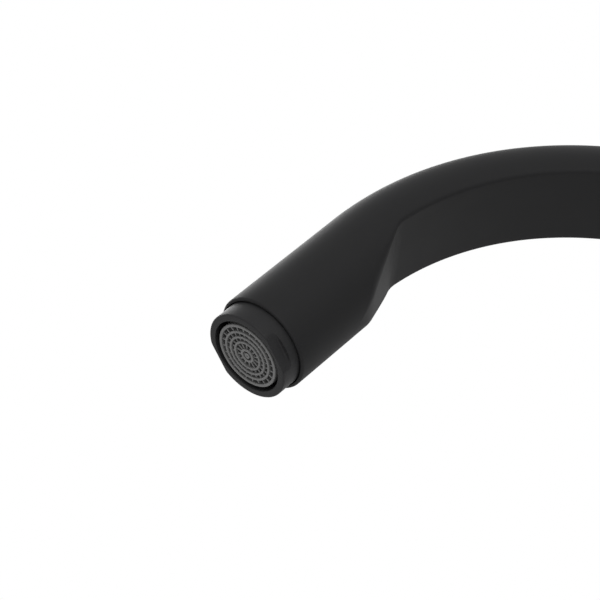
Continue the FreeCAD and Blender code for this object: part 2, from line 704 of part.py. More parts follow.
def bent_path(body, name, radius, column_x, low, end):
    """A path up the column, round the bend and down the barrel, to `end` short of the rim."""
    path = sketch_on(body, "XZ_Plane", name)
    bend_x = "(arch_radius + %s * sin(outlet_angle))" % radius
    bend_z = "(arch_height + %s * cos(outlet_angle))" % radius
    run = "(barrel_length - %s)" % end
    end_x = "(%s + %s * cos(outlet_angle))" % (bend_x, run)
    end_z = "(%s - %s * sin(outlet_angle))" % (bend_z, run)
    foot = FreeCAD.Vector(size(column_x), size(low), 0)
    shoulder = FreeCAD.Vector(size(column_x), size("arch_height"), 0)
    bend = FreeCAD.Vector(size(bend_x), size(bend_z), 0)
    mouth = FreeCAD.Vector(size(end_x), size(end_z), 0)
    centre = FreeCAD.Vector(size("arch_radius"), size("arch_height"), 0)
    top = centre + FreeCAD.Vector(0, size(radius), 0)
    path.addGeometry(Part.LineSegment(foot, shoulder))
    path.addGeometry(Part.Arc(shoulder, top, bend))
    path.addGeometry(Part.LineSegment(bend, mouth))
    place_point(path, 0, 1, column_x, low)
    place_point(path, 1, 3, "arch_radius", "arch_height")
    place_point(path, 2, 1, bend_x, None)
    place_point(path, 2, 2, end_x, end_z)
    place_point(path, 0, 2, column_x, "arch_height")
    path.addConstraint(Sketcher.Constraint("Coincident", 0, 2, 1, 2))
    path.addConstraint(Sketcher.Constraint("Coincident", 1, 1, 2, 1))
    return path


def follow(body, kind, name, radius, column_x, low, path):
    """Sweeps a circle along a bent path, to add a tube or to take one out."""
    section = sketch_on(body, "XY_Plane", name + "_section", lift=low)
    circles(section, radius, [(column_x, "0")])
    pipe = body.newObject("PartDesign::%sPipe" % kind, body.Label + "_" + name)
    pipe.Profile = section
    pipe.Spine = (path, ["Edge1", "Edge2", "Edge3"])
    return pipe


def ramp_blend(inwards, beyond):
    """Where a ramp's blend meets the ramp, its middle, and where it meets the flat, in the XZ plane.

    Both directions are seen from the bend's end: inwards to the bend's centre, and beyond, away from
    the bend along the tube.
    """
    slope = math.radians(size("ramp_angle"))
    hollow = size("ramp_hollow")
    flat = size("arch_radius - flat_depth")
    across = inwards * math.cos(slope) - beyond * math.sin(slope)
    along = beyond * math.cos(slope) + inwards * math.sin(slope)
    distance = size("ramp_lead") * math.sin(slope) + size("arch_radius - tube_radius") * math.cos(slope)
    back = math.sqrt((flat - hollow) ** 2 - (distance - hollow) ** 2)
    bend_centre = FreeCAD.Vector(size("arch_radius"), size("arch_height"), 0)
    blend_centre = bend_centre - across * (distance - hollow) - along * back
    to_flat = (blend_centre - bend_centre).normalize()
    to_middle = (to_flat - across).normalize()
    return blend_centre - across * hollow, blend_centre + to_middle * hollow, bend_centre + to_flat * flat


def cut_underside(body):
    """Cuts the flat underside along the bend and the two ramps that end it."""
    out = "(arch_radius - tube_radius - cut_overrun)"
    back = "(ramp_lead + cut_overrun / tan(ramp_angle))"
    outlet_corner = (
        "arch_radius + %s * sin(outlet_angle) + %s * cos(outlet_angle)" % (out, back),
        "arch_height + %s * cos(outlet_angle) - %s * sin(outlet_angle)" % (out, back))
    column_corner = ("arch_radius - " + out, "arch_height - " + back)
    outlet_point = FreeCAD.Vector(size(outlet_corner[0]), size(outlet_corner[1]), 0)
    column_point = FreeCAD.Vector(size(column_corner[0]), size(column_corner[1]), 0)

    # Arcs run anticlockwise in a sketch, so the outline starts at the outlet and ends at the column
    turn = FreeCAD.Rotation(UP, -size("outlet_angle"))
    outlet_ramp, outlet_middle, outlet_flat = ramp_blend(
        turn.multVec(FreeCAD.Vector(0, -1, 0)), turn.multVec(FreeCAD.Vector(1, 0, 0)))
    column_ramp, column_middle, column_flat = ramp_blend(FreeCAD.Vector(1, 0, 0), FreeCAD.Vector(0, -1, 0))
    top = FreeCAD.Vector(size("arch_radius"), size("arch_height + arch_radius - flat_depth"), 0)
    cut = sketch_on(body, "XZ_Plane", "underside")
    cut.addGeometry(Part.Arc(outlet_flat, top, column_flat))
    cut.addGeometry(Part.LineSegment(outlet_point, outlet_ramp))
    cut.addGeometry(Part.LineSegment(column_ramp, column_point))
    cut.addGeometry(Part.LineSegment(column_point, outlet_point))
    cut.addGeometry(Part.Arc(outlet_ramp, outlet_middle, outlet_flat))
    cut.addGeometry(Part.Arc(column_flat, column_middle, column_ramp))
    for first, first_end, second, second_end in ((2, 2, 3, 1), (3, 2, 1, 1)):
        cut.addConstraint(Sketcher.Constraint("Coincident", first, first_end, second, second_end))
    for first, first_end, second, second_end in ((1, 2, 4, 1), (4, 2, 0, 1), (0, 2, 5, 1), (5, 2, 2, 1)):
        cut.addConstraint(Sketcher.Constraint("Tangent", first, first_end, second, second_end))
    place_point(cut, 0, 3, "arch_radius", "arch_height")
    place_point(cut, 1, 1, *outlet_corner)
    place_point(cut, 3, 1, *column_corner)
    for curve, formula in ((0, "arch_radius - flat_depth"), (4, "ramp_hollow"), (5, "ramp_hollow")):
        number = cut.addConstraint(Sketcher.Constraint("Radius", curve, size(formula)))
        bind(cut, "Constraints[%d]" % number, formula)
    for line, formula in ((1, "180 - outlet_angle - ramp_angle"), (2, "-90 + ramp_angle")):
        slope = FreeCAD.Units.Quantity(size(formula), FreeCAD.Units.Angle)
        number = cut.addConstraint(Sketcher.Constraint("Angle", line, slope))
        bind(cut, "Constraints[%d]" % number, formula)
    underside = pocket(body, cut)
    underside.Midplane = True
    return underside


def beside_flat(edge):
    """Whether an edge runs between the flat underside or its ramps and the round of the tube."""
    curve = edge.Curve
    if isinstance(curve, Part.Circle):
        return abs(curve.Radius - size("arch_radius - flat_depth")) < 1e-3
    return isinstance(curve, Part.Ellipse)


def make_spout():
    """The bent spout with its flat underside, duct and foot bore."""
    spout = new_body("spout")
    path = bent_path(spout, "path", "arch_radius", "0", FOOT, "0")
    follow(spout, "Additive", "tube", "tube_radius", "0", FOOT, path)
    cut_underside(spout)
    dress(spout, "Fillet", "flat_edge_round", beside_flat)

    bore = sketch_on(spout, "XY_Plane", "foot_bore", lift=FOOT)
    circles(bore, "column_bore", [("0", "0")])
    pocket(spout, bore, "(%s - %s)" % (BORE_TOP, FOOT), forwards=True)
    duct = bent_path(spout, "duct_path", "(arch_radius + duct_offset)", "-duct_offset",
                     "(%s - column_bore_margin)" % BORE_TOP, "(outlet_thread_depth - overlap)")
    follow(spout, "Subtractive", "duct", "duct_radius", "-duct_offset",
           "(%s - column_bore_margin)" % BORE_TOP, duct)
    return spout


def make_aerator():
    """The nozzle, its seal, the insert with its outlet grid, and the plates over it."""
    thread = "(outlet_thread - thread_gap)"
    nozzle = turned("outlet_nozzle", [
        (NOZZLE_MOUTH, NOZZLE_FACE), (NOZZLE, NOZZLE_FACE), (NOZZLE, NOZZLE_STEP),
        (thread, NOZZLE_STEP), (thread, NOZZLE_TOP), (LEDGE_BORE, NOZZLE_TOP),
        (LEDGE_BORE, LEDGE), (NOZZLE_BORE, LEDGE),
        (NOZZLE_BORE, MOUTH_FLOOR), (NOZZLE_MOUTH, MOUTH_FLOOR)])
    dress_ring(nozzle, "Fillet", "nozzle_edge", NOZZLE, NOZZLE_FACE)
    flats = sketch_on(nozzle, "XY_Plane", "flats", lift=NOZZLE_FACE, turn="spanner_flat_turn")
    clear = plus(NOZZLE, "overlap")
    for near, far in (("spanner_flat", clear), ("-" + clear, "-spanner_flat")):
        polygon(flats, rectangle(near, far, "-" + clear, clear))
    pocket(nozzle, flats, "spanner_flat_length", forwards=True)
    on_outlet_axis(nozzle)

    washer = ring("outlet_washer", "outlet_washer_bore", thread, NOZZLE_TOP, "outlet_thread_depth")
    on_outlet_axis(washer)
    make_insert()

    inner = plus(INSERT_BORE, "-slip_gap")
    plate = ring("jet_plate", "0", inner, PLATE_SEAT, PLATE_HIGH)
    jet = sketch_on(plate, "XY_Plane", "jet", lift=PLATE_HIGH)
    circles(jet, "jet_radius", [("jet_circle", "0")])
    around(plate, pocket(plate, jet), jet, "jet_count")
    on_outlet_axis(plate)
    regulator = ring("flow_regulator", "jet_circle / 2", inner, PLATE_HIGH, INSERT_TOP)
    on_outlet_axis(regulator)
    brim = "(outlet_washer_bore - slip_gap)"
    brim_top = plus(INSERT_TOP, "screen_thickness")
    screen = turned("inlet_screen", [
        ("0", plus(INSERT_TOP, "screen_rise")), ("0", plus(brim_top, "screen_rise")),
        (plus(brim, "-screen_thickness"), brim_top), (brim, brim_top), (brim, INSERT_TOP),
        (plus(brim, "-2 * screen_thickness"), INSERT_TOP)])
    on_outlet_axis(screen)


def make_insert():
    """The moulded insert: a cup with a flange, and a grid of cells in its outlet face."""
    seat = plus(INSERT_BORE, "-insert_wall")
    insert = turned("aerator_insert", [
        ("0", INSERT_FACE), (INSERT, INSERT_FACE), (INSERT, LEDGE), (INSERT_FLANGE, LEDGE),
        (INSERT_FLANGE, INSERT_TOP), (INSERT_BORE, INSERT_TOP), (INSERT_BORE, PLATE_SEAT),
        (seat, PLATE_SEAT), (seat, CHAMBER_LOW), ("0", CHAMBER_LOW)])
    rim = plus(INSERT, "-grid_rim")
    far = rim
    for name in ("one", "two", "three", "four"):
        near = plus(far, "-cells_%s_width" % name)
        count = "cells_%s_count" % name
        half = "(180 / %s - grid_rib * %s / %s)" % (count, rim, far)
        cell = sketch_on(insert, "XY_Plane", "cell_" + name, lift=INSERT_FACE)
        polygon(cell, [
            ("%s * cos(%s)" % (near, half), "-%s * sin(%s)" % (near, half)),
            ("%s * cos(%s)" % (far, half), "-%s * sin(%s)" % (far, half)),
            ("%s * cos(%s)" % (far, half), "%s * sin(%s)" % (far, half)),
            ("%s * cos(%s)" % (near, half), "%s * sin(%s)" % (near, half))])
        around(insert, pocket(insert, cell, "grid_depth", forwards=True), cell, count)
        far = plus(near, "-grid_wall")
    on_outlet_axis(insert)


def cut_socket(spout):
    """Cuts the nozzle's stepped socket into the barrel's end and rounds its rim."""
    socket = sketch_on(spout, "XZ_Plane", "socket")
    slope = FreeCAD.Rotation(UP, size("90 - outlet_angle"))
    socket.AttachmentOffset = FreeCAD.Placement(FreeCAD.Vector(), slope)
    bind(socket, "AttachmentOffset.Rotation.Angle", "90 - outlet_angle")
    bind(socket, "AttachmentOffset.Base.x", RIM_X)
    bind(socket, "AttachmentOffset.Base.y", RIM_Z)
    polygon(socket, [
        ("0", "-overlap"), (RIM_BORE, "-overlap"),
        (RIM_BORE, "rim_bore_depth"), ("outlet_thread", "rim_bore_depth"),
        ("outlet_thread", "outlet_thread_depth"), ("0", "outlet_thread_depth")])
    groove = spout.newObject("PartDesign::Groove", "spout_socket_cut")
    groove.Profile = socket
    groove.ReferenceAxis = (socket, ["V_Axis"])
    groove.Angle = 360
    centre = FreeCAD.Vector(size(RIM_X), 0, size(RIM_Z))
    dress(spout, "Fillet", "rim_round", lambda edge: round_edge(edge, size("tube_radius"), centre))


def make_cartridge():
    """The cartridge from its seat outwards: seal, base, discs, carrier, rotor, shell and nut."""
    side_ports = [("-inlet_offset", "port_drop"), ("inlet_offset", "port_drop")]
    mixed_port = [("0", "-mixed_port_rise")]
    stack = (
        ("seat_seal", CARTRIDGE, "cartridge_seat", SEAL_TOP),
        ("cartridge_base", CARTRIDGE, SEAL_TOP, BASE_TOP),
        ("fixed_disc", FIXED_DISC, BASE_TOP, FIXED_TOP))
    for label, radius, low, high in stack:
        plate = ring(label, "0", radius, low, high)
        holes = sketch_on(plate, "XY_Plane", "ports", lift=high)
        circles(holes, "port_radius", side_ports + mixed_port)
        pocket(plate, holes)
        on_cartridge_axis(plate)

    lip = "(rotor_radius + rotor_lip_gap)"
    shell = turned("cartridge_shell", [
        (SHELL_BORE, BASE_TOP), (CARTRIDGE, BASE_TOP), (CARTRIDGE, SHELL_TOP),
        (lip, SHELL_TOP), (lip, LIP_LOW), (SHELL_BORE, LIP_LOW)])
    on_cartridge_axis(shell)

    nut = ring("cartridge_nut", NUT_BORE, plus(NUT_THREAD, "-thread_gap"), SHELL_TOP, NUT_TOP)
    notch = sketch_on(nut, "XY_Plane", "notch", lift=NUT_TOP)
    polygon(notch, rectangle(plus(NUT_BORE, "-overlap"), NUT_THREAD, "-nut_notch", "nut_notch"))
    around(nut, pocket(nut, notch, "2 * nut_notch"), notch, "nut_notch_count")
    on_cartridge_axis(nut)

    make_moving_disc()
    make_rotor()
    make_stem()


def make_moving_disc():
    """The moving disc and its carrier, drawn where they lie with the lever down and closed."""
    start = "moving_disc_throw / 2"
    disc = new_body("moving_disc")
    outline = sketch_on(disc, "XY_Plane", "outline", lift=FIXED_TOP)
    circles(outline, MOVING_DISC, [("0", start)])
    pad(disc, outline, "moving_disc_height")
    recess = sketch_on(disc, "XY_Plane", "recess", lift=FIXED_TOP)
    circles(recess, "disc_recess", [("0", start)])
    pocket(disc, recess, "moving_disc_height / 2", forwards=True)
    on_cartridge_axis(disc)
    carrier = new_body("disc_carrier")
    outline = sketch_on(carrier, "XY_Plane", "outline", lift=MOVING_TOP)
    circles(outline, CARRIER, [("0", start)])
    circles(outline, "(stem_ball + stem_ball_gap)", [("0", "0")])
    pad(carrier, outline, "carrier_height")
    on_cartridge_axis(carrier)


def make_rotor():
    """The rotor that turns with the lever, slotted for the stem, and the stem's pin."""
    top = plus(PIVOT, "rotor_top")
    rotor = turned("cartridge_rotor", [
        ("0", ROTOR_LOW), (ROTOR_FLANGE, ROTOR_LOW), (ROTOR_FLANGE, ROTOR_STEP),
        ("rotor_radius", ROTOR_STEP), ("rotor_radius", top), ("0", top)])
    slot = sketch_on(rotor, "XY_Plane", "slot", lift=top)
    wide = "(stem_half + slot_side_gap)"
    polygon(slot, rectangle("-" + wide, wide, "-slot_half_length", "slot_half_length"))
    pocket(rotor, slot)
    hole = sketch_on(rotor, "YZ_Plane", "pin_hole")
    circles(hole, "(pin_radius + pin_gap)", [("0", PIVOT)])
    pocket(rotor, hole).Midplane = True
    on_cartridge_axis(rotor)
    half_length = "(rotor_radius - pin_inset)"
    pin = ring("stem_pin", "0", "pin_radius", "-" + half_length, half_length)
    pin.Placement = FreeCAD.Placement(FreeCAD.Vector(), FreeCAD.Rotation(FreeCAD.Vector(0, 1, 0), 90))
    bind(pin, "Placement.Base.y", PIVOT)
    bind(pin, "Placement.Base.z", CARTRIDGE_LEVEL)


def make_stem():
    """The lever's stem: a ball in the disc carrier, a neck, and a square bar into the hub."""
    heel = plus(PIVOT, "-stem_heel")
    end = plus(SOCKET_END, "-stem_tip_gap")
    stem = turned("lever_stem", rectangle("0", "stem_neck", BALL_LEVEL, plus(heel, "overlap")))
    sphere(stem, "Additive", "ball", "stem_ball", BALL_LEVEL)
    bar = sketch_on(stem, "XY_Plane", "bar", lift=heel)
    polygon(bar, rectangle("-stem_half", "stem_half", "-stem_half", "stem_half"))
    pad(stem, bar, "(%s - %s)" % (end, heel))
    hole = sketch_on(stem, "YZ_Plane", "pin_hole")
    circles(hole, "(pin_radius + pin_gap)", [("0", PIVOT)])
    pocket(stem, hole).Midplane = True
    on_cartridge_axis(stem)


def make_dome():
    """The domed cover over the cartridge, centred on the lever's pivot."""
    low = plus(NUT_TOP, "dome_nut_gap")
    outer = plus(NUT_THREAD, "-thread_gap")
    inner = plus(outer, "-dome_skirt_wall")
    brim = plus(BOSS, "-dome_edge", "-dome_wall / 2")
    high = plus(MOUTH, "dome_foot_height")
    dome = turned("dome_cover", [
        (inner, low), (outer, low), (outer, MOUTH), (brim, MOUTH), (brim, high), (inner, high)])
    cap = sphere(dome, "Additive", "cap", DOME, PIVOT)
    bind(cap, "Angle1", "asin(pivot_depth / %s)" % DOME)
    inside = plus(DOME, "-dome_wall")
    hollow = sphere(dome, "Subtractive", "hollow", inside, PIVOT)
    bind(hollow, "Angle1", "asin((pivot_depth + dome_foot_height) / %s)" % inside)
    hole = sketch_on(dome, "XY_Plane", "hole", lift=MOUTH)
    circles(hole, "dome_hole", [("0", "0")])
    pocket(dome, hole, forwards=True)
    on_cartridge_axis(dome)


def make_hub():
    """The lever's hub, hollowed to turn and tilt over the dome."""
    hub = turned("lever_hub", [
        ("0", HUB_LOW), (HUB, HUB_LOW), (HUB, plus(HUB_END, "-hub_chamfer")),
        (plus(HUB, "-hub_chamfer"), HUB_END), ("0", HUB_END)])
    sphere(hub, "Subtractive", "cavity", HUB_CAVITY, PIVOT)
    half = "(stem_half + socket_gap)"
    socket = sketch_on(hub, "XY_Plane", "socket", lift=PIVOT)
    polygon(socket, rectangle("-" + half, half, "-" + half, half))
    pocket(hub, socket, "(%s - %s)" % (SOCKET_END, PIVOT), forwards=True)
    seat = sketch_on(hub, "XZ_Plane", "rod_seat", lift=ROD_SEAT)
    circles(seat, "(rod_radius + slip_gap)", [("0", ROD_AXIS)])
    pocket(hub, seat, forwards=True)
    stud = sketch_on(hub, "XZ_Plane", "stud_hole", lift=plus(ROD_SEAT, "-rod_stud_length", "-slip_gap"))
    circles(stud, "(rod_stud_radius + thread_gap)", [("0", ROD_AXIS)])
    pocket(hub, stud, forwards=True)
    grub = sketch_on(hub, "YZ_Plane", "grub_hole")
    circles(grub, "(grub_radius + thread_gap)", [("0", ROD_AXIS)])
    pocket(hub, grub, forwards=True)
    plug = sketch_on(hub, "YZ_Plane", "plug_hole", lift=plus(HUB, "-plug_inset", "-plug_length"))
    circles(plug, "(plug_radius + plug_gap)", [("0", ROD_AXIS)])
    pocket(hub, plug, forwards=True)
    on_cartridge_axis(hub)


def make_lever():
    """The hub, its rod, the grub screw on the stem and the plug that hides it."""
    make_hub()
    stud_low = plus(ROD_SEAT, "-rod_stud_length")
    rod_tip = plus(ROD_SEAT, "rod_length")
    rod = turned("lever_rod", [
        ("0", stud_low), ("rod_stud_radius", stud_low), ("rod_stud_radius", ROD_SEAT),
        ("rod_radius", ROD_SEAT), ("rod_radius", rod_tip), ("0", rod_tip)])
    dress_ring(rod, "Fillet", "rod_tip_round", "rod_radius", rod_tip)
    bind(rod, "Placement.Base.y", ROD_AXIS)
    bind(rod, "Placement.Base.z", CARTRIDGE_LEVEL)
    grub = ring("grub_screw", "0", "grub_radius", "stem_half", "(stem_half + grub_length)")
    socket = sketch_on(grub, "XY_Plane", "socket", lift="(stem_half + grub_length)")
    polygon(socket, hexagon("screw_socket"))
    pocket(grub, socket, "screw_socket_depth")
    across_hub(grub)
    plug_top = plus(HUB, "-plug_inset")
    plug = ring("index_plug", "0", "plug_radius", plus(plug_top, "-plug_length"), plug_top)
    across_hub(plug)


def check_and_write():
    """Stops on any failed object, empty cut or bad shape, then writes each sub-part's file."""
    document.recompute()
    for thing in document.Objects:
        if "Invalid" in thing.State or "Error" in thing.State:
            raise RuntimeError("%s: %s" % (thing.Label, thing.State))
        if thing.TypeId in ("PartDesign::Pocket", "PartDesign::Groove"):
            if thing.Shape.Volume > thing.BaseFeature.Shape.Volume - 1e-3:
                raise RuntimeError("%s cuts nothing" % thing.Label)
    os.makedirs("parts", exist_ok=True)
    for thing in document.Objects:
        if thing.TypeId in ("PartDesign::Body", "Part::Compound"):
            shape = thing.Shape
            if shape.isNull() or not shape.isValid() or not shape.Solids:
                raise RuntimeError("%s has no valid solid" % thing.Label)
            shape.exportStep("parts/%s.step" % thing.Label)
            print("%-18s %d solid(s) %10.1f mm3" % (thing.Label, len(shape.Solids), shape.Volume))


make_base()
make_mixer_body()
make_swivel()
cut_socket(make_spout())
make_aerator()
make_cartridge()
make_dome()
make_lever()
check_and_write()
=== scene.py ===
# %% [markdown]
# # Dressing a matte black kitchen faucet
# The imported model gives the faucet's pieces at their real size, already joined into bodies that
# turn and tilt. This lesson gives those pieces their looks. It starts by loading them and noting the
# box that they fill, because the finished looks have to stay inside it.

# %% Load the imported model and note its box
import json
import math

import bmesh
import bpy
from mathutils import Matrix, Vector


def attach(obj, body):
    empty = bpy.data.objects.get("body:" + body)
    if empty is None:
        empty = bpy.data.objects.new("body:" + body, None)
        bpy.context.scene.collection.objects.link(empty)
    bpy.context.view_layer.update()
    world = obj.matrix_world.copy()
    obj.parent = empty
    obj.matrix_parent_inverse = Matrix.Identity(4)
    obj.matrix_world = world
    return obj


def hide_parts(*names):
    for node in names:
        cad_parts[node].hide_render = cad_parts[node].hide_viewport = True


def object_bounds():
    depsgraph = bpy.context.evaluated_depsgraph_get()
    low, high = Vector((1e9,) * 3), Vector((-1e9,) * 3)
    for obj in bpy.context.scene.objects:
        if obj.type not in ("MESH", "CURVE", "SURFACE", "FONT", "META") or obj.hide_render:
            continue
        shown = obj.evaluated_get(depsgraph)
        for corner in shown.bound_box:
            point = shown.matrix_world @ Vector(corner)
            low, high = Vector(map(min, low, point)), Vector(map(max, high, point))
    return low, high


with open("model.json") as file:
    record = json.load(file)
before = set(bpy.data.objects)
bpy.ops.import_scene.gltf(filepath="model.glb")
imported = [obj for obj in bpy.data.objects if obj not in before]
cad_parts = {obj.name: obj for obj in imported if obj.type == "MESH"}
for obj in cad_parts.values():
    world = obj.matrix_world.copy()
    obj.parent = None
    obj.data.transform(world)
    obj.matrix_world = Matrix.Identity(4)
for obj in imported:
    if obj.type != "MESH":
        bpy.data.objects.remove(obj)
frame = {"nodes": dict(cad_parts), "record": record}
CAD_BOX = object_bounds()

# %% [markdown]
# ## The driving sizes
# The spout is one bent tube. A few numbers give all of it: the tube's radius, the bend's radius and
# height, the slope of the outlet and the straight length after the bend. They are the same numbers
# as in the model, in millimetres. Meshes are drawn in millimetres too, and turned to metres once,
# when a piece is finished.

# %% Name the sizes that the looks need
MM = 0.001

TUBE_RADIUS = 15.0
ARCH_RADIUS = 92.2
ARCH_HEIGHT = 270.0
OUTLET_ANGLE = math.radians(49.7)
BARREL_LENGTH = 46.4

OUTLET_AXIS = Vector((math.cos(OUTLET_ANGLE), 0, -math.sin(OUTLET_ANGLE)))
OUTER_SIDE = Vector((math.sin(OUTLET_ANGLE), 0, math.cos(OUTLET_ANGLE)))
BEND_CENTRE = Vector((ARCH_RADIUS, 0, ARCH_HEIGHT))
BEND_END = BEND_CENTRE + ARCH_RADIUS * OUTER_SIDE
RIM = BEND_END + BARREL_LENGTH * OUTLET_AXIS
print("rim centre at", [round(x, 2) for x in RIM], "mm")

# %% [markdown]
# ## The camera
# The photograph looks up at the outlet from below and from the lever's side. The viewing angle, the
# lens and the distance come from a fit of the spout's outline to the picture. Two pixel values say
# where the centre of the spout's rim falls in the 600 by 600 frame, and the camera is set back from
# the rim so that it falls there. A camera can also be aimed by eye or made to track a point, but its
# three directions, written as one matrix, give the same picture each time.

# %% Set the camera
AZIMUTH = math.radians(176.0)
ELEVATION = math.radians(-43.46)
LENS = 113.44
SENSOR = 36.0
RIM_DEPTH = 527.0
NEAR_CLIP = 10.0
PICTURE_SIDE = 600
RIM_PIXEL_X = 261.6
RIM_PIXEL_Y = 344.2


def place_camera():
    """A camera at the photograph's angle that shows the rim's centre at its pixel."""
    back = Vector((math.sin(AZIMUTH) * math.cos(ELEVATION),
                   -math.cos(AZIMUTH) * math.cos(ELEVATION),
                   math.sin(ELEVATION)))
    right = Vector((0, 0, 1)).cross(back).normalized()
    up = back.cross(right)
    pixel = RIM_DEPTH * SENSOR / LENS / PICTURE_SIDE
    aside = (PICTURE_SIDE / 2 - RIM_PIXEL_X) * pixel
    above = (RIM_PIXEL_Y - PICTURE_SIDE / 2) * pixel
    camera = bpy.data.objects.new("camera", bpy.data.cameras.new("camera"))
    camera.data.lens = LENS
    camera.data.sensor_width = SENSOR
    camera.data.clip_start = NEAR_CLIP * MM
    place = (RIM + RIM_DEPTH * back + aside * right + above * up) * MM
    camera.matrix_world = Matrix.Translation(place) @ Matrix((right, up, back)).transposed().to_4x4()
    bpy.context.scene.collection.objects.link(camera)
    bpy.context.scene.camera = camera
    return place


print("camera at", [round(x / MM, 1) for x in place_camera()], "mm")

# %% [markdown]
# ## Colours
# Colours are written as sRGB hex values, as a picture editor shows them. The shader works with
# linear light, so one function turns them.

# %% Turn a hex colour to linear light
def colour(code):
    """A hex colour such as 2a2a2b as a linear colour."""
    shades = [int(code[start:start + 2], 16) / 255 for start in (0, 2, 4)]
    linear = [shade / 12.92 if shade <= 0.04045 else ((shade + 0.055) / 1.055) ** 2.4 for shade in shades]
    return (*linear, 1.0)


WHITE = colour("ffffff")
print("mid grey 808080 is", round(colour("808080")[0], 3), "in linear light")

# %% [markdown]
# ## Nodes from a script
# A finish and a Geometry Nodes tree are both made of nodes, each with settings and inputs. Written out,
# that takes three or four lines for each node, so one small function does it: an input is set to a
# value, or linked where another node's socket is given.

# %% Add a node with its settings and links
def add(tree, kind, inputs=None, **settings):
    """A node whose inputs are set to values, or linked where a socket is given."""
    node = tree.nodes.new(kind)
    for name, value in settings.items():
        setattr(node, name, value)
    for name, value in (inputs or {}).items():
        if isinstance(value, bpy.types.NodeSocket):
            tree.links.new(value, node.inputs[name])
        else:
            node.inputs[name].default_value = value
    return node


def start_material(name):
    """An empty material and its node tree."""
    material = bpy.data.materials.new(name)
    material.use_nodes = True
    material.node_tree.nodes.clear()
    return material, material.node_tree


print("materials before the first finish:", len(bpy.data.materials))

# %% [markdown]
# ## Matte black powder coat
# The visible shell of the faucet is brass under a baked powder coat. The powder melts and levels into
# a very fine orange peel, with resin on top, so it is a dielectric: matte, even, and a little lighter
# where it is seen at a low angle. The nozzle is coated too, but turned finer, so it gets a smoother
# version of the same finish. The peel could be real relief, but it is only hundredths of a millimetre
# deep, so a bump is enough.

# %% Make the powder coat
COAT_IOR = 1.5
COAT_LEVEL = 0.22       # specular level
PEEL_STRENGTH = 0.12
PEEL_HEIGHT = 0.02      # mm
CLOUD_SIZE = 14.0       # mm from one cloudy patch to the next
CLOUD_SPREAD = 0.03     # how far the roughness strays, up and down


def powder_coat(name, base, roughness, peel_size):
    """Matte black resin coat, with its orange peel and a faint cloudiness in its gloss."""
    material, tree = start_material(name)
    where = add(tree, "ShaderNodeTexCoord").outputs["Object"]
    peel = add(tree, "ShaderNodeTexNoise", {"Vector": where, "Scale": 1 / (peel_size * MM), "Detail": 2.0})
    cloud = add(tree, "ShaderNodeTexNoise", {"Vector": where, "Scale": 1 / (CLOUD_SIZE * MM), "Detail": 3.0})
    gloss = add(tree, "ShaderNodeMapRange", {
        "Value": cloud.outputs["Fac"], "To Min": roughness - CLOUD_SPREAD,
        "To Max": roughness + CLOUD_SPREAD})
    bump = add(tree, "ShaderNodeBump", {
        "Height": peel.outputs["Fac"], "Strength": PEEL_STRENGTH, "Distance": PEEL_HEIGHT * MM})
    shader = add(tree, "ShaderNodeBsdfPrincipled", {
        "Base Color": colour(base), "Roughness": gloss.outputs["Result"], "IOR": COAT_IOR,
        "Specular IOR Level": COAT_LEVEL, "Normal": bump.outputs["Normal"]})
    add(tree, "ShaderNodeOutputMaterial", {"Surface": shader.outputs["BSDF"]})
    return material


COAT = powder_coat("powder_coat_matte_black", "161617", 0.66, 0.6)
NOZZLE_COAT = powder_coat("powder_coat_fine_black", "1e1e1f", 0.58, 0.35)
print("black finishes:", COAT.name, NOZZLE_COAT.name)

# %% [markdown]
# ## Metals
# Below the worktop and inside the column the metal is bare. Brass is turned, so its grooves run round
# each piece's own axis. A noise read along one number, the level plus the distance from that axis,
# draws such grooves on the sides and on the end faces alike. The washer plate and the screws are
# stainless steel, pickled and tumbled, with no direction at all.

# %% Make the metals
TURNING_PITCH = 0.5     # mm; real grooves are 0.1 mm apart, too fine to show
GROOVE_STRENGTH = 0.35
GROOVE_HEIGHT = 0.03    # mm
TARNISH_SIZE = 9.0      # mm
BRASS_ROUGHNESS = (0.24, 0.4)
STEEL_GRAIN = 0.3       # mm
STEEL_STRENGTH = 0.2
STEEL_HEIGHT = 0.01     # mm
WEAR_SIZE = 6.0         # mm
STEEL_ROUGHNESS = (0.28, 0.42)
CARTRIDGE_LEVEL = 82.0


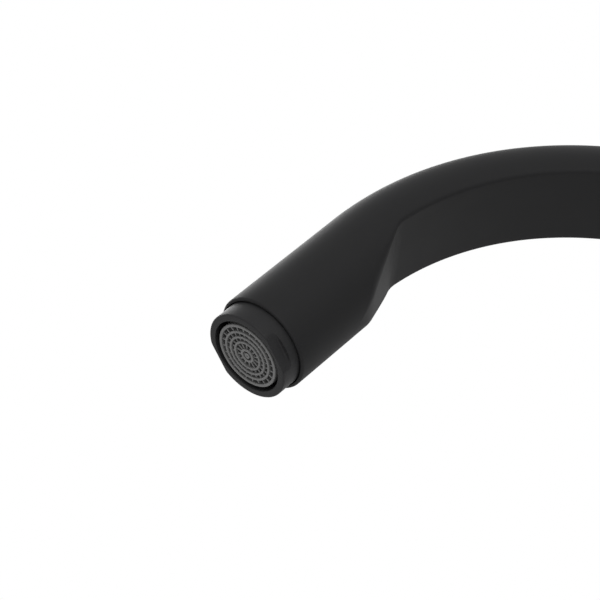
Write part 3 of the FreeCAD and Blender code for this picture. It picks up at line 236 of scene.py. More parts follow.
def turned_brass(name, to_axis):
    """Turned yellow brass; the matrix takes the piece's axis onto Z."""
    material, tree = start_material(name)
    where = add(tree, "ShaderNodeTexCoord").outputs["Object"]
    place, turn, _ = to_axis.decompose()
    local = add(tree, "ShaderNodeMapping", {
        "Vector": where, "Location": place, "Rotation": turn.to_euler()}).outputs["Vector"]
    parts = add(tree, "ShaderNodeSeparateXYZ", {"Vector": local})
    flat = add(tree, "ShaderNodeCombineXYZ", {"X": parts.outputs["X"], "Y": parts.outputs["Y"]})
    away = add(tree, "ShaderNodeVectorMath", {0: flat.outputs["Vector"]}, operation="LENGTH")
    feed = add(tree, "ShaderNodeMath", {0: away.outputs["Value"], 1: parts.outputs["Z"]}, operation="ADD")
    groove = add(tree, "ShaderNodeTexNoise", {
        "W": feed.outputs[0], "Scale": 1 / (TURNING_PITCH * MM), "Detail": 2.0}, noise_dimensions="1D")
    tarnish = add(tree, "ShaderNodeTexNoise", {
        "Vector": where, "Scale": 1 / (TARNISH_SIZE * MM), "Detail": 4.0})
    tint = add(tree, "ShaderNodeMix", {
        "Factor": tarnish.outputs["Fac"], "A": colour("c9a667"), "B": colour("b48f50")}, data_type="RGBA")
    gloss = add(tree, "ShaderNodeMapRange", {
        "Value": groove.outputs["Fac"], "To Min": BRASS_ROUGHNESS[0], "To Max": BRASS_ROUGHNESS[1]})
    bump = add(tree, "ShaderNodeBump", {
        "Height": groove.outputs["Fac"], "Strength": GROOVE_STRENGTH, "Distance": GROOVE_HEIGHT * MM})
    shader = add(tree, "ShaderNodeBsdfPrincipled", {
        "Base Color": tint.outputs["Result"], "Metallic": 1.0, "Roughness": gloss.outputs["Result"],
        "Normal": bump.outputs["Normal"]})
    add(tree, "ShaderNodeOutputMaterial", {"Surface": shader.outputs["BSDF"]})
    return material


def tumbled_steel():
    """Stainless steel from a tumbling drum: soft grey, with a fine satin grain."""
    material, tree = start_material("stainless_steel_tumbled")
    where = add(tree, "ShaderNodeTexCoord").outputs["Object"]
    grain = add(tree, "ShaderNodeTexNoise", {"Vector": where, "Scale": 1 / (STEEL_GRAIN * MM), "Detail": 3.0})
    wear = add(tree, "ShaderNodeTexNoise", {"Vector": where, "Scale": 1 / (WEAR_SIZE * MM), "Detail": 3.0})
    gloss = add(tree, "ShaderNodeMapRange", {
        "Value": wear.outputs["Fac"], "To Min": STEEL_ROUGHNESS[0], "To Max": STEEL_ROUGHNESS[1]})
    bump = add(tree, "ShaderNodeBump", {
        "Height": grain.outputs["Fac"], "Strength": STEEL_STRENGTH, "Distance": STEEL_HEIGHT * MM})
    shader = add(tree, "ShaderNodeBsdfPrincipled", {
        "Base Color": colour("c6c6c4"), "Metallic": 1.0, "Roughness": gloss.outputs["Result"],
        "Normal": bump.outputs["Normal"]})
    add(tree, "ShaderNodeOutputMaterial", {"Surface": shader.outputs["BSDF"]})
    return material


COLUMN = Matrix.Identity(4)
CARTRIDGE_AXIS = Matrix.Translation((0, 0, CARTRIDGE_LEVEL)) @ Matrix.Rotation(math.pi / 2, 4, (-1, 0, 0))
BRASS_UPRIGHT = turned_brass("turned_brass_column", COLUMN)
BRASS_LEVEL = turned_brass("turned_brass_cartridge", (Matrix.Scale(MM, 4) @ CARTRIDGE_AXIS).inverted())
STEEL = tumbled_steel()
print("metals:", BRASS_UPRIGHT.name, BRASS_LEVEL.name, STEEL.name)

# %% [markdown]
# ## Plastics, rubber and ceramic
# The aerator's insert is moulded acetal, grey in the mass. It has the slightly waxy, satin look that
# a spark-eroded mould leaves. The cartridge is glass-filled plastic, whose fibres float up as pale
# streaks. The washers are moulded rubber, dull and dusty, and the discs are lapped alumina, which is
# nearly white and very smooth. They differ in colour, gloss and the size of their grain, so one
# function makes them all from those numbers.

# %% Make the moulded and lapped finishes
MOULDED_IOR = 1.48
FLOW_SIZE = 5.0         # mm
GRAIN_STRENGTH = 0.3
GRAIN_SPREAD = 0.05     # how far the roughness strays, up and down


def moulded(name, shades, roughness, grain_size, grain_height, level):
    """A dielectric in two close shades, with an even grain; the level is its specular level."""
    material, tree = start_material(name)
    where = add(tree, "ShaderNodeTexCoord").outputs["Object"]
    flow = add(tree, "ShaderNodeTexNoise", {"Vector": where, "Scale": 1 / (FLOW_SIZE * MM), "Detail": 4.0})
    tint = add(tree, "ShaderNodeMix", {
        "Factor": flow.outputs["Fac"], "A": colour(shades[0]), "B": colour(shades[1])}, data_type="RGBA")
    grain = add(tree, "ShaderNodeTexNoise", {"Vector": where, "Scale": 1 / (grain_size * MM), "Detail": 3.0})
    gloss = add(tree, "ShaderNodeMapRange", {
        "Value": grain.outputs["Fac"], "To Min": roughness - GRAIN_SPREAD,
        "To Max": roughness + GRAIN_SPREAD})
    bump = add(tree, "ShaderNodeBump", {
        "Height": grain.outputs["Fac"], "Strength": GRAIN_STRENGTH, "Distance": grain_height * MM})
    shader = add(tree, "ShaderNodeBsdfPrincipled", {
        "Base Color": tint.outputs["Result"], "Roughness": gloss.outputs["Result"], "IOR": MOULDED_IOR,
        "Specular IOR Level": level, "Normal": bump.outputs["Normal"]})
    add(tree, "ShaderNodeOutputMaterial", {"Surface": shader.outputs["BSDF"]})
    return material


GREY_ACETAL = moulded("moulded_grey_acetal", ("5c5c5c", "646463"), 0.4, 0.25, 0.01, 0.4)
WHITE_ACETAL = moulded("moulded_natural_acetal", ("deddd6", "e7e6e0"), 0.38, 0.3, 0.01, 0.5)
FILLED_PLASTIC = moulded("moulded_glass_filled_plastic", ("b9bbba", "d0d2d0"), 0.5, 0.2, 0.02, 0.5)
RUBBER = moulded("moulded_epdm_rubber", ("191919", "212120"), 0.75, 0.2, 0.02, 0.3)
CERAMIC = moulded("lapped_alumina_ceramic", ("e9e6de", "f0eee8"), 0.2, 0.8, 0.002, 0.5)
print("moulded:", GREY_ACETAL.name, WHITE_ACETAL.name, FILLED_PLASTIC.name, RUBBER.name, CERAMIC.name)

# %% [markdown]
# ## From rings to a mesh
# The spout, the nozzle and every round piece is a stack of rings with the same number of points.
# One helper joins the rings with faces and caps the ends, or joins them to each other. Another
# merges the points that fall together, turns the faces outwards and marks as sharp the edges that
# turn by more than a given angle. All other edges stay smooth, so a few hundred rings shade like one
# surface. A subdivided cage would need fewer points, but it would pull away from the real sizes.

# %% Join rings into a mesh
MERGE_DISTANCE = 1e-4


def mesh_object(name, work, place, sharp_degrees, welded=False):
    """A finished object from a mesh in millimetres, with its place in the mesh."""
    if not welded:
        bmesh.ops.remove_doubles(work, verts=work.verts, dist=MERGE_DISTANCE)
        bmesh.ops.dissolve_degenerate(work, edges=work.edges, dist=MERGE_DISTANCE)
    bmesh.ops.recalc_face_normals(work, faces=work.faces)
    limit = math.radians(sharp_degrees)
    for face in work.faces:
        face.smooth = True
    for edge in work.edges:
        edge.smooth = len(edge.link_faces) == 2 and edge.calc_face_angle(0) < limit
    work.transform(Matrix.Scale(MM, 4) @ place)
    mesh = bpy.data.meshes.new(name)
    work.to_mesh(mesh)
    work.free()
    thing = bpy.data.objects.new(name, mesh)
    bpy.context.scene.collection.objects.link(thing)
    print(name, len(mesh.polygons), "faces")
    return thing


def join_rings(work, rings, round_again=False):
    """Faces between neighbouring rings; the ends are capped, or joined to each other."""
    rows = [[work.verts.new(point) for point in ring] for ring in rings]
    pairs = list(zip(rows, rows[1:]))
    if round_again:
        pairs.append((rows[-1], rows[0]))
    for low, high in pairs:
        for number, here in enumerate(low):
            following = (number + 1) % len(low)
            work.faces.new((here, low[following], high[following], high[number]))
    if not round_again:
        work.faces.new(rows[0][::-1])
        work.faces.new(rows[-1])


print("points closer than", MERGE_DISTANCE, "mm are merged")

# %% [markdown]
# ## The spout's section
# The real spout is a round tube with a flat on its inner side, so that its section is a letter D
# with softly rounded corners. The flat is 5.1 mm below the tube's axis along the bend. At each end a
# straight ramp at 22 degrees lets it run out, until the section is the full round again. One
# function gives the section for any depth of the flat, so the ramps need no other shape: there the
# depth simply grows from one ring to the next. A tube with a piece cut away would give the same form,
# but its cut edges would be hard to round evenly.

# %% Draw the section for a given depth of the flat
FLAT_DEPTH = 5.1
FLAT_EDGE_ROUND = 1.5   # a little wider than in the solid, as its highlight shows
TOE_EDGE_ROUND = 7.0
WIDENING_START = 0.1    # share of the ramp at which its edges begin to widen
WIDENING_SPAN = 0.75    # share over which they do so
ROUND_STEPS = 84
CORNER_STEPS = 10
FLAT_STEPS = 14


def arc_points(centre, radius, start, finish, steps):
    """Points along an arc, as (across, outwards) pairs."""
    for step in range(steps + 1):
        angle = start + (finish - start) * step / steps
        yield centre[0] + radius * math.cos(angle), centre[1] + radius * math.sin(angle)


def edge_round(depth):
    """Radius between the flat and the round: small along the bend, wide where the ramp fades out."""
    share = (min(depth, TUBE_RADIUS) - FLAT_DEPTH) / (TUBE_RADIUS - FLAT_DEPTH)
    share = min(max((share - WIDENING_START) / WIDENING_SPAN, 0), 1)
    return FLAT_EDGE_ROUND + (TOE_EDGE_ROUND - FLAT_EDGE_ROUND) * share ** 2 * (3 - 2 * share)


def spout_section(depth):
    """The rounded D, from the flat's right end round the outer side and back along the flat."""
    edge = edge_round(depth)
    inner = TUBE_RADIUS - edge
    drop = min(depth, TUBE_RADIUS) - edge
    aside = math.sqrt(inner ** 2 - drop ** 2)
    slope = math.atan2(-drop, aside)
    straight_down = -math.pi / 2
    points = list(arc_points((aside, -drop), edge, straight_down, slope, CORNER_STEPS))
    points += arc_points((0, 0), TUBE_RADIUS, slope, math.pi - slope, ROUND_STEPS)
    points += arc_points((-aside, -drop), edge, math.pi - slope, math.pi - straight_down, CORNER_STEPS)
    for step in range(1, FLAT_STEPS):
        points.append((aside * (2 * step / FLAT_STEPS - 1), -drop - edge))
    return points


print("points round one section:", len(spout_section(FLAT_DEPTH)))

# %% [markdown]
# ## The spout along its path
# The path is the column, the bend and the barrel. A ring stands at each station of the path, square
# to it. Each ramp is straight in space while the path under it still bends, so inside the bend the
# depth comes from where the station's own line from the bend's centre meets the ramp. A small hollow
# blends the flat into the ramp and a wide swell blends the ramp into the round, so no edge crosses
# the underside.

# %% Work out the depth of the flat at each station
RAMP_LEAD = 17.0
RAMP_ANGLE = math.radians(22.0)
RAMP_HOLLOW = 10.0
RAMP_SWELL = 25.0

RAMP_FAR = RAMP_LEAD * math.sin(RAMP_ANGLE) + (ARCH_RADIUS - TUBE_RADIUS) * math.cos(RAMP_ANGLE)
HOLLOW_CENTRE = ARCH_RADIUS - FLAT_DEPTH - RAMP_HOLLOW
HOLLOW_INNER = math.acos((RAMP_FAR - RAMP_HOLLOW) / HOLLOW_CENTRE)
HOLLOW_OUTER = math.atan(HOLLOW_CENTRE * math.sin(HOLLOW_INNER) / RAMP_FAR)
SWELL_REACH = RAMP_SWELL * math.tan(RAMP_ANGLE / 2)


def depth_on_straight(beyond):
    """Depth of the flat on a straight run, so far beyond the bend."""
    if beyond <= RAMP_LEAD - SWELL_REACH * math.cos(RAMP_ANGLE):
        return TUBE_RADIUS - (RAMP_LEAD - beyond) * math.tan(RAMP_ANGLE)
    short = max(RAMP_LEAD + SWELL_REACH - beyond, 0)
    return TUBE_RADIUS - RAMP_SWELL + math.sqrt(RAMP_SWELL ** 2 - short ** 2)


def depth_in_bend(angle):
    """Depth of the flat in the bend, at this angle from the nearer end."""
    turn = angle + RAMP_ANGLE
    if turn < HOLLOW_OUTER:
        return ARCH_RADIUS - RAMP_FAR / math.cos(turn)
    if turn > HOLLOW_INNER:
        return FLAT_DEPTH
    aside = HOLLOW_CENTRE * math.sin(turn - HOLLOW_INNER)
    along = HOLLOW_CENTRE * math.cos(turn - HOLLOW_INNER)
    return ARCH_RADIUS - along - math.sqrt(RAMP_HOLLOW ** 2 - aside ** 2)


TOE_ANGLE = HOLLOW_INNER - RAMP_ANGLE
print("the ramps meet the flat", round(math.degrees(TOE_ANGLE), 2), "degrees inside the bend")

# %% Place the stations along the path
FOOT = 141.0
FOOT_BORE = 12.0
FOOT_BORE_DEPTH = 13.0
RIM_ROUND = 0.8
RIM_BORE = 14.1
RIM_BORE_DEPTH = 4.0
OUTLET_THREAD = 12.0
OUTLET_THREAD_DEPTH = 15.0
BEND_ANGLE = math.pi / 2 + OUTLET_ANGLE
BEND_STEP = math.radians(1.1)
TOE_STEP = math.radians(0.25)
RAMP_STEP = 0.75
PLAIN_STEP = 8.0


def steps_between(start, finish, step):
    """Evenly spaced numbers from start to finish, both included."""
    count = max(1, round(abs(finish - start) / step))
    return [start + (finish - start) * number / count for number in range(count + 1)]


def spout_stations():
    """Each station as (point on the axis, direction to the outer side, depth of the flat)."""
    back = Vector((-1, 0, 0))
    ramp_end = RAMP_LEAD + SWELL_REACH
    stations = []
    for beyond in (steps_between(ARCH_HEIGHT - FOOT, ramp_end, PLAIN_STEP)
                   + steps_between(ramp_end, 0, RAMP_STEP)[1:]):
        stations.append((Vector((0, 0, ARCH_HEIGHT - beyond)), back, depth_on_straight(beyond)))
    angles = steps_between(0, TOE_ANGLE, TOE_STEP)[1:]
    angles += steps_between(TOE_ANGLE, BEND_ANGLE - TOE_ANGLE, BEND_STEP)[1:]
    angles += steps_between(BEND_ANGLE - TOE_ANGLE, BEND_ANGLE, TOE_STEP)[1:]
    for angle in angles:
        outwards = Matrix.Rotation(angle, 3, "Y") @ back
        nearer = min(angle, BEND_ANGLE - angle)
        stations.append((BEND_CENTRE + ARCH_RADIUS * outwards, outwards, depth_in_bend(nearer)))
    for beyond in (steps_between(0, ramp_end, RAMP_STEP)[1:]
                   + steps_between(ramp_end, BARREL_LENGTH - RIM_ROUND, PLAIN_STEP)[1:]):
        stations.append((BEND_END + beyond * OUTLET_AXIS, OUTER_SIDE, depth_on_straight(beyond)))
    return stations


print("stations along the spout:", len(spout_stations()))


# %% Build the spout
ROUND_TURNS = 6
SPOUT_SHARP = 14        # degrees


def ring_at(centre, outwards, section, scale=1.0):
    """A section set across the path; its first number runs along Y and its second outwards."""
    return [centre + scale * (along * Vector((0, 1, 0)) + out * outwards) for along, out in section]


def make_spout():
    """The spout's visible skin, with its rim, socket and foot bore."""
    round_section = spout_section(TUBE_RADIUS)
    stations = spout_stations()
    column = stations[0][1]
    rings = []
    for radius, level in ((FOOT_BORE, FOOT + FOOT_BORE_DEPTH), (FOOT_BORE, FOOT)):
        rings.append(ring_at(Vector((0, 0, level)), column, round_section, radius / TUBE_RADIUS))
    rings += [ring_at(point, outwards, spout_section(depth)) for point, outwards, depth in stations]
    for turn in range(1, ROUND_TURNS + 1):
        angle = math.pi / 2 * turn / ROUND_TURNS
        radius = TUBE_RADIUS - RIM_ROUND * (1 - math.cos(angle))
        point = RIM - RIM_ROUND * (1 - math.sin(angle)) * OUTLET_AXIS
        rings.append(ring_at(point, OUTER_SIDE, round_section, radius / TUBE_RADIUS))
    for radius, depth in ((RIM_BORE, 0), (RIM_BORE, RIM_BORE_DEPTH), (OUTLET_THREAD, RIM_BORE_DEPTH),
                          (OUTLET_THREAD, OUTLET_THREAD_DEPTH)):
        rings.append(ring_at(RIM - depth * OUTLET_AXIS, OUTER_SIDE, round_section, radius / TUBE_RADIUS))
    work = bmesh.new()
    join_rings(work, rings)
    return mesh_object("spout_skin", work, COLUMN, SPOUT_SHARP)


spout_skin = make_spout()
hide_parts("spout")
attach(spout_skin, "spout")

# %% [markdown]
# ## Round pieces
# The insert's cup and the shank are round, so each is an outline spun about its axis. A Screw
# modifier would spin it too, but here the helper that joins the spout's rings can join these as well.
# A real edge is never quite sharp, so a corner of an outline may carry the radius of its round, and
# a helper draws the arc, for the nozzle's outline too.

# %% Spin an outline with rounded corners
SPIN_STEPS = 144
CORNER_TURN = 15        # degrees that one step of a rounded corner takes


def rounded(corners):
    """A closed outline of (radius, level) points; a corner's third number is its round."""
    points = []
    for number, corner in enumerate(corners):
        here = Vector(corner[:2])
        before = (Vector(corners[number - 1][:2]) - here).normalized()
        after = (Vector(corners[(number + 1) % len(corners)][:2]) - here).normalized()
        size = corner[2] if len(corner) > 2 else 0
        if size:
            half = before.angle(after) / 2
            middle = here + (before + after).normalized() * size / math.sin(half)
            start = here + before * size / math.tan(half) - middle
            finish = here + after * size / math.tan(half) - middle
            steps = max(2, round(math.degrees(start.angle(finish)) / CORNER_TURN))
            for step in range(steps + 1):
                share = step / steps
                blend = (start * (1 - share) + finish * share).normalized() * size
                points.append(middle + blend)
        else:
            points.append(here)
    return points


def spin(work, corners):
    """Spins a closed outline about Z."""
    outline = rounded(corners)
    rings = []
    for step in range(SPIN_STEPS):
        angle = 2 * math.pi * step / SPIN_STEPS
        rings.append([Vector((p.x * math.cos(angle), p.x * math.sin(angle), p.y)) for p in outline])
    join_rings(work, rings, round_again=True)


OUTLET = Matrix.Translation(RIM) @ Matrix.Rotation(math.pi / 2 - OUTLET_ANGLE, 4, (0, -1, 0))
print("points in a rounded square:", len(rounded([(0, 0, 1), (4, 0, 1), (4, 4, 1), (0, 4, 1)])))

# %% [markdown]
# ## The outlet nozzle
# The nozzle holds the aerator and is screwed into the barrel. It is a ring a little narrower than
# the barrel, with two opposite flats for a spanner. The cutter's rounded corner leaves a hollow and a
# narrow ledge at the end of each flat. The flats are made by pressing the ring's points back onto a
# surface whose distance from the axis is given for each level: constant along the flat, an arc in the
# hollow, and the full radius above the ledge. A boolean cut would do as well, but its many-sided
# faces shade unevenly beside the smooth round.

# %% Build the nozzle
NOZZLE_RADIUS = 13.69
NOZZLE_REACH = 6.5
NOZZLE_EDGE = 0.5
NOZZLE_MOUTH = 11.55
NOZZLE_MOUTH_DEPTH = 7.5
NOZZLE_BORE = 10.6
NOZZLE_STEP = 3.5
NOZZLE_TOP = 13.5
NOZZLE_THREAD = 11.9
SPANNER_FLAT = 12.5
SPANNER_FLAT_LENGTH = 3.5
SPANNER_FLAT_TURN = math.radians(141.0)
CUTTER_HOLLOW = 0.7
CUTTER_STEPS = 5
LEDGE_SLOPE = 0.05
FLAT_TURN_STEP = math.radians(1.2)
ROUND_TURN_STEP = math.radians(2.5)
FINE_EDGE = 0.12
NOZZLE_SHARP = 25       # degrees


def flat_distance(level):
    """Distance of the spanner flat from the axis, at this level above the nozzle's face."""
    if level > SPANNER_FLAT_LENGTH + LEDGE_SLOPE / 2:
        return NOZZLE_RADIUS
    rise = min(max(level - (SPANNER_FLAT_LENGTH - CUTTER_HOLLOW), 0), CUTTER_HOLLOW)
    return SPANNER_FLAT + CUTTER_HOLLOW - math.sqrt(CUTTER_HOLLOW ** 2 - rise ** 2)


def make_nozzle():
    """The nozzle with its spanner flats."""
    face = -NOZZLE_REACH
    floor = face + NOZZLE_MOUTH_DEPTH
    flat_end = SPANNER_FLAT_LENGTH
    hollow = steps_between(flat_end - CUTTER_HOLLOW, flat_end, CUTTER_HOLLOW / CUTTER_STEPS)
    hollow.append(flat_end + LEDGE_SLOPE)
    outline = rounded(
        [(NOZZLE_MOUTH, face, FINE_EDGE), (NOZZLE_RADIUS, face, NOZZLE_EDGE)]
        + [(NOZZLE_RADIUS, face + level) for level in hollow]
        + [(NOZZLE_RADIUS, NOZZLE_STEP), (NOZZLE_THREAD, NOZZLE_STEP), (NOZZLE_THREAD, NOZZLE_TOP),
           (NOZZLE_BORE, NOZZLE_TOP), (NOZZLE_BORE, floor), (NOZZLE_MOUTH, floor)])
    middle = Vector((math.cos(SPANNER_FLAT_TURN), math.sin(SPANNER_FLAT_TURN), 0))
    chord = math.acos(SPANNER_FLAT / NOZZLE_RADIUS)
    angles = steps_between(-chord, chord, FLAT_TURN_STEP)
    angles += steps_between(chord, math.pi - chord, ROUND_TURN_STEP)[1:-1]
    angles += [angle + math.pi for angle in angles]
    rings = []
    for angle in angles:
        turn = angle + SPANNER_FLAT_TURN
        ring = []
        for point in outline:
            spot = Vector((point.x * math.cos(turn), point.x * math.sin(turn), point.y))
            over = abs(spot.dot(middle)) - flat_distance(point.y - face)
            if over > 0:
                spot -= middle * math.copysign(over, spot.dot(middle))
            ring.append(spot)
        rings.append(ring)
    work = bmesh.new()
    join_rings(work, rings, round_again=True)
    return mesh_object("nozzle_ring", work, OUTLET, NOZZLE_SHARP)


nozzle_ring = make_nozzle()
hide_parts("outlet_nozzle")
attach(nozzle_ring, "spout")

# %% [markdown]
# ## The aerator's outlet grid
# The insert's face is a grid of narrow rings joined by short ribs, and water falls through the cells
# between them. Rings and ribs repeat, so Geometry Nodes draw them. One small node group sweeps a
# rounded bar round one ring and sets its ribs like spokes. The main tree uses that group once for
# each ring, with its own radius, width and number of ribs, and unites all of them with the cup.
# The rings stand a little proud of the ribs, because that is what catches the light.

# %% Start a geometry tree with named sizes
def start_tree(name, sizes, shaped=False):
    """A geometry tree with a named input for each size, and the sockets of its group input."""
    tree = bpy.data.node_groups.new(name, "GeometryNodeTree")
    tree.is_modifier = True
    if shaped:
        tree.interface.new_socket("Geometry", in_out="INPUT", socket_type="NodeSocketGeometry")
    for size in sizes:
        kind = "NodeSocketInt" if size.endswith("Count") else "NodeSocketFloat"
        tree.interface.new_socket(size, in_out="INPUT", socket_type=kind)
    tree.interface.new_socket("Geometry", in_out="OUTPUT", socket_type="NodeSocketGeometry")
    return tree, add(tree, "NodeGroupInput").outputs


def grow(tree, name, start, sizes, place, sharp_degrees):
    """Runs a geometry tree on a starting mesh, in millimetres, and returns the finished plain piece."""
    shape = bpy.data.meshes.new(name + "_start")
    bmesh.ops.recalc_face_normals(start, faces=start.faces)
    start.to_mesh(shape)
    start.free()
    carrier = bpy.data.objects.new(name + "_start", shape)
    bpy.context.scene.collection.objects.link(carrier)
    modifier = carrier.modifiers.new("grow", "NODES")
    modifier.node_group = tree
    for socket in tree.interface.items_tree:
        if socket.in_out == "INPUT" and socket.name in sizes:
            modifier[socket.identifier] = sizes[socket.name]
    graph = bpy.context.evaluated_depsgraph_get()
    mesh = bpy.data.meshes.new_from_object(carrier.evaluated_get(graph))
    carrier.modifiers.remove(modifier)
    bpy.data.objects.remove(carrier)
    mesh.name = name
    work = bmesh.new()
    work.from_mesh(mesh)
    material = mesh.materials[0]
    thing = mesh_object(name, work, place, sharp_degrees, welded=True)
    thing.data.materials.append(material)
    return thing


def copies_round(tree, piece, count):
    """Copies of a piece, turned evenly about Z."""
    points = add(tree, "GeometryNodePoints", {"Count": count})
    number = add(tree, "GeometryNodeInputIndex")
    share = add(tree, "ShaderNodeMath", {0: number.outputs["Index"], 1: count}, operation="DIVIDE")
    angle = add(tree, "ShaderNodeMath", {0: share.outputs[0], 1: 2 * math.pi}, operation="MULTIPLY")
    turn = add(tree, "ShaderNodeCombineXYZ", {"Z": angle.outputs[0]})
    copies = add(tree, "GeometryNodeInstanceOnPoints", {
        "Points": points.outputs["Points"], "Instance": piece, "Rotation": turn.outputs["Vector"]})
    return copies.outputs["Instances"]


print("geometry trees before the first piece:", len(bpy.data.node_groups))

# %% Draw one ring with its ribs
RING_STEPS = 96
BAR_ROUND = 0.16
BAR_ROUND_STEPS = 3


def ribbed_ring_group():
    """One ring of the grid: a rounded bar swept round, and its ribs outside it."""
    tree, size = start_tree("ribbed_ring", (
        "Ring Radius", "Ring Width", "Ring Depth", "Rib Count", "Rib Length", "Rib Width", "Rib Drop"))
    path = add(tree, "GeometryNodeCurvePrimitiveCircle", {
        "Resolution": RING_STEPS, "Radius": size["Ring Radius"]})
    path = add(tree, "GeometryNodeSetCurveNormal", {"Curve": path.outputs["Curve"]}, mode="Z_UP")
    bar = add(tree, "GeometryNodeCurvePrimitiveQuadrilateral", {
        "Width": size["Ring Width"], "Height": size["Ring Depth"]})
    bar = add(tree, "GeometryNodeFilletCurve", {
        "Curve": bar.outputs["Curve"], "Radius": BAR_ROUND, "Limit Radius": True,
        "Count": BAR_ROUND_STEPS}, mode="POLY")
    ring = add(tree, "GeometryNodeCurveToMesh", {
        "Curve": path.outputs["Curve"], "Profile Curve": bar.outputs["Curve"]})
    depth = add(tree, "ShaderNodeMath", {0: size["Ring Depth"], 1: size["Rib Drop"]}, operation="SUBTRACT")
    box = add(tree, "ShaderNodeCombineXYZ", {
        "X": size["Rib Length"], "Y": size["Rib Width"], "Z": depth.outputs[0]})
    rib = add(tree, "GeometryNodeMeshCube", {"Size": box.outputs["Vector"]})
    half = add(tree, "ShaderNodeMath", {0: size["Rib Length"], 1: 0.5, 2: size["Ring Radius"]},
               operation="MULTIPLY_ADD")
    rise = add(tree, "ShaderNodeMath", {0: size["Rib Drop"], 1: 0.5}, operation="MULTIPLY")
    spot = add(tree, "ShaderNodeCombineXYZ", {"X": half.outputs[0], "Z": rise.outputs[0]})
    rib = add(tree, "GeometryNodeTransform", {
        "Geometry": rib.outputs["Mesh"], "Translation": spot.outputs["Vector"]})
    spokes = copies_round(tree, rib.outputs["Geometry"], size["Rib Count"])
    both = add(tree, "GeometryNodeJoinGeometry")
    tree.links.new(ring.outputs["Mesh"], both.inputs["Geometry"])
    tree.links.new(spokes, both.inputs["Geometry"])
    real = add(tree, "GeometryNodeRealizeInstances", {"Geometry": both.outputs["Geometry"]})
    add(tree, "NodeGroupOutput", {"Geometry": real.outputs["Geometry"]})
    return tree


RIBBED_RING = ribbed_ring_group()
print("nodes in", RIBBED_RING.name + ":", len(RIBBED_RING.nodes))

# %% Unite the rings with the cup
INSERT_RADIUS = 10.35
INSERT_FLANGE = 10.85
INSERT_BORE = 9.45
INSERT_FACE = -6.2
INSERT_LEDGE = 9.5
INSERT_TOP = 11.0
INSERT_CHAMBER = -3.2
RIM_INNER = 9.4
RING_DEPTH = 2.6
RIB_WIDTH = 0.45
RIB_DROP = 0.4
GRID_RINGS = (          # radius and width of each ring, number of ribs outside it, length of those ribs
    (7.8, 0.72, 24, 2.0), (6.1, 0.7, 24, 1.9), (4.45, 0.7, 20, 1.8), (1.9, 0.8, 14, 2.7), (0.55, 0.7, 4, 1.4))
CUP_INNER_EDGE = 0.25
CUP_OUTER_EDGE = 0.3
GRID_SHARP = 30         # degrees


def outlet_grid_tree(material):
    """The whole grid: every ring with its ribs, united with the cup that comes in."""
    tree, size = start_tree("outlet_grid", ("Ring Depth", "Rib Width", "Rib Drop"), shaped=True)
    union = add(tree, "GeometryNodeMeshBoolean", operation="UNION", solver="MANIFOLD")
    tree.links.new(size["Geometry"], union.inputs["Mesh 2"])
    for radius, width, count, length in GRID_RINGS:
        ring = add(tree, "GeometryNodeGroup", node_tree=RIBBED_RING)
        own = {"Ring Radius": radius, "Ring Width": width, "Rib Count": count, "Rib Length": length}
        for name, value in own.items():
            ring.inputs[name].default_value = value
        for name in ("Ring Depth", "Rib Width", "Rib Drop"):
            tree.links.new(size[name], ring.inputs[name])
        middle = add(tree, "GeometryNodeTransform", {
            "Geometry": ring.outputs["Geometry"], "Translation": (0, 0, INSERT_FACE + RING_DEPTH / 2)})
        tree.links.new(middle.outputs["Geometry"], union.inputs["Mesh 2"])
    real = add(tree, "GeometryNodeRealizeInstances", {"Geometry": union.outputs["Mesh"]})
    painted = add(tree, "GeometryNodeSetMaterial", {
        "Geometry": real.outputs["Geometry"], "Material": material})
    add(tree, "NodeGroupOutput", {"Geometry": painted.outputs["Geometry"]})
    return tree


def make_insert():
    """The cup of the insert, spun, with the grid grown into its mouth."""
    cup = bmesh.new()
    spin(cup, [
        (RIM_INNER, INSERT_FACE, CUP_INNER_EDGE), (INSERT_RADIUS, INSERT_FACE, CUP_OUTER_EDGE),
        (INSERT_RADIUS, INSERT_LEDGE), (INSERT_FLANGE, INSERT_LEDGE), (INSERT_FLANGE, INSERT_TOP),
        (INSERT_BORE, INSERT_TOP), (INSERT_BORE, INSERT_CHAMBER), (RIM_INNER, INSERT_CHAMBER)])
    sizes = {"Ring Depth": RING_DEPTH, "Rib Width": RIB_WIDTH, "Rib Drop": RIB_DROP}
    return grow(outlet_grid_tree(GREY_ACETAL), "aerator_grid", cup, sizes, OUTLET, GRID_SHARP)


aerator_grid = make_insert()
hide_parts("aerator_insert")
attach(aerator_grid, "spout")

# %% [markdown]
# ## Threads
# Under the worktop the faucet hangs on a threaded shank, and three socket screws push the washer plate
# up. A thread is one tooth that climbs round its core by a pitch in each turn. So one tree carries a
# tooth's section along a spiral, thins it out at both ends as a die does, unites it with the core and
# sets copies on a circle: one copy in the middle for the shank, three further out for the screws.
# The tooth has the 60 degree flanks and the flat crest of a metric thread. A bump could draw the
# grooves too, but it would leave the outline straight.

# %% Grow a thread on a core
TOOTH_SUNK = 0.3        # how deep the tooth's foot lies inside the core
RUN_OUT = 0.02          # share of the spiral over which the tooth thins out
THINNEST = 0.02         # share of its size that is left of the tooth at its ends
TOOTH_HEIGHT = 5 / 8 * math.cos(math.pi / 6)    # these two are shares of the pitch
TOOTH_CREST = 1 / 8
FLANK_SPREAD = 2 * math.tan(math.pi / 6)        # width that the two flanks add, for each unit of height
THREAD_SHARP = 25       # degrees


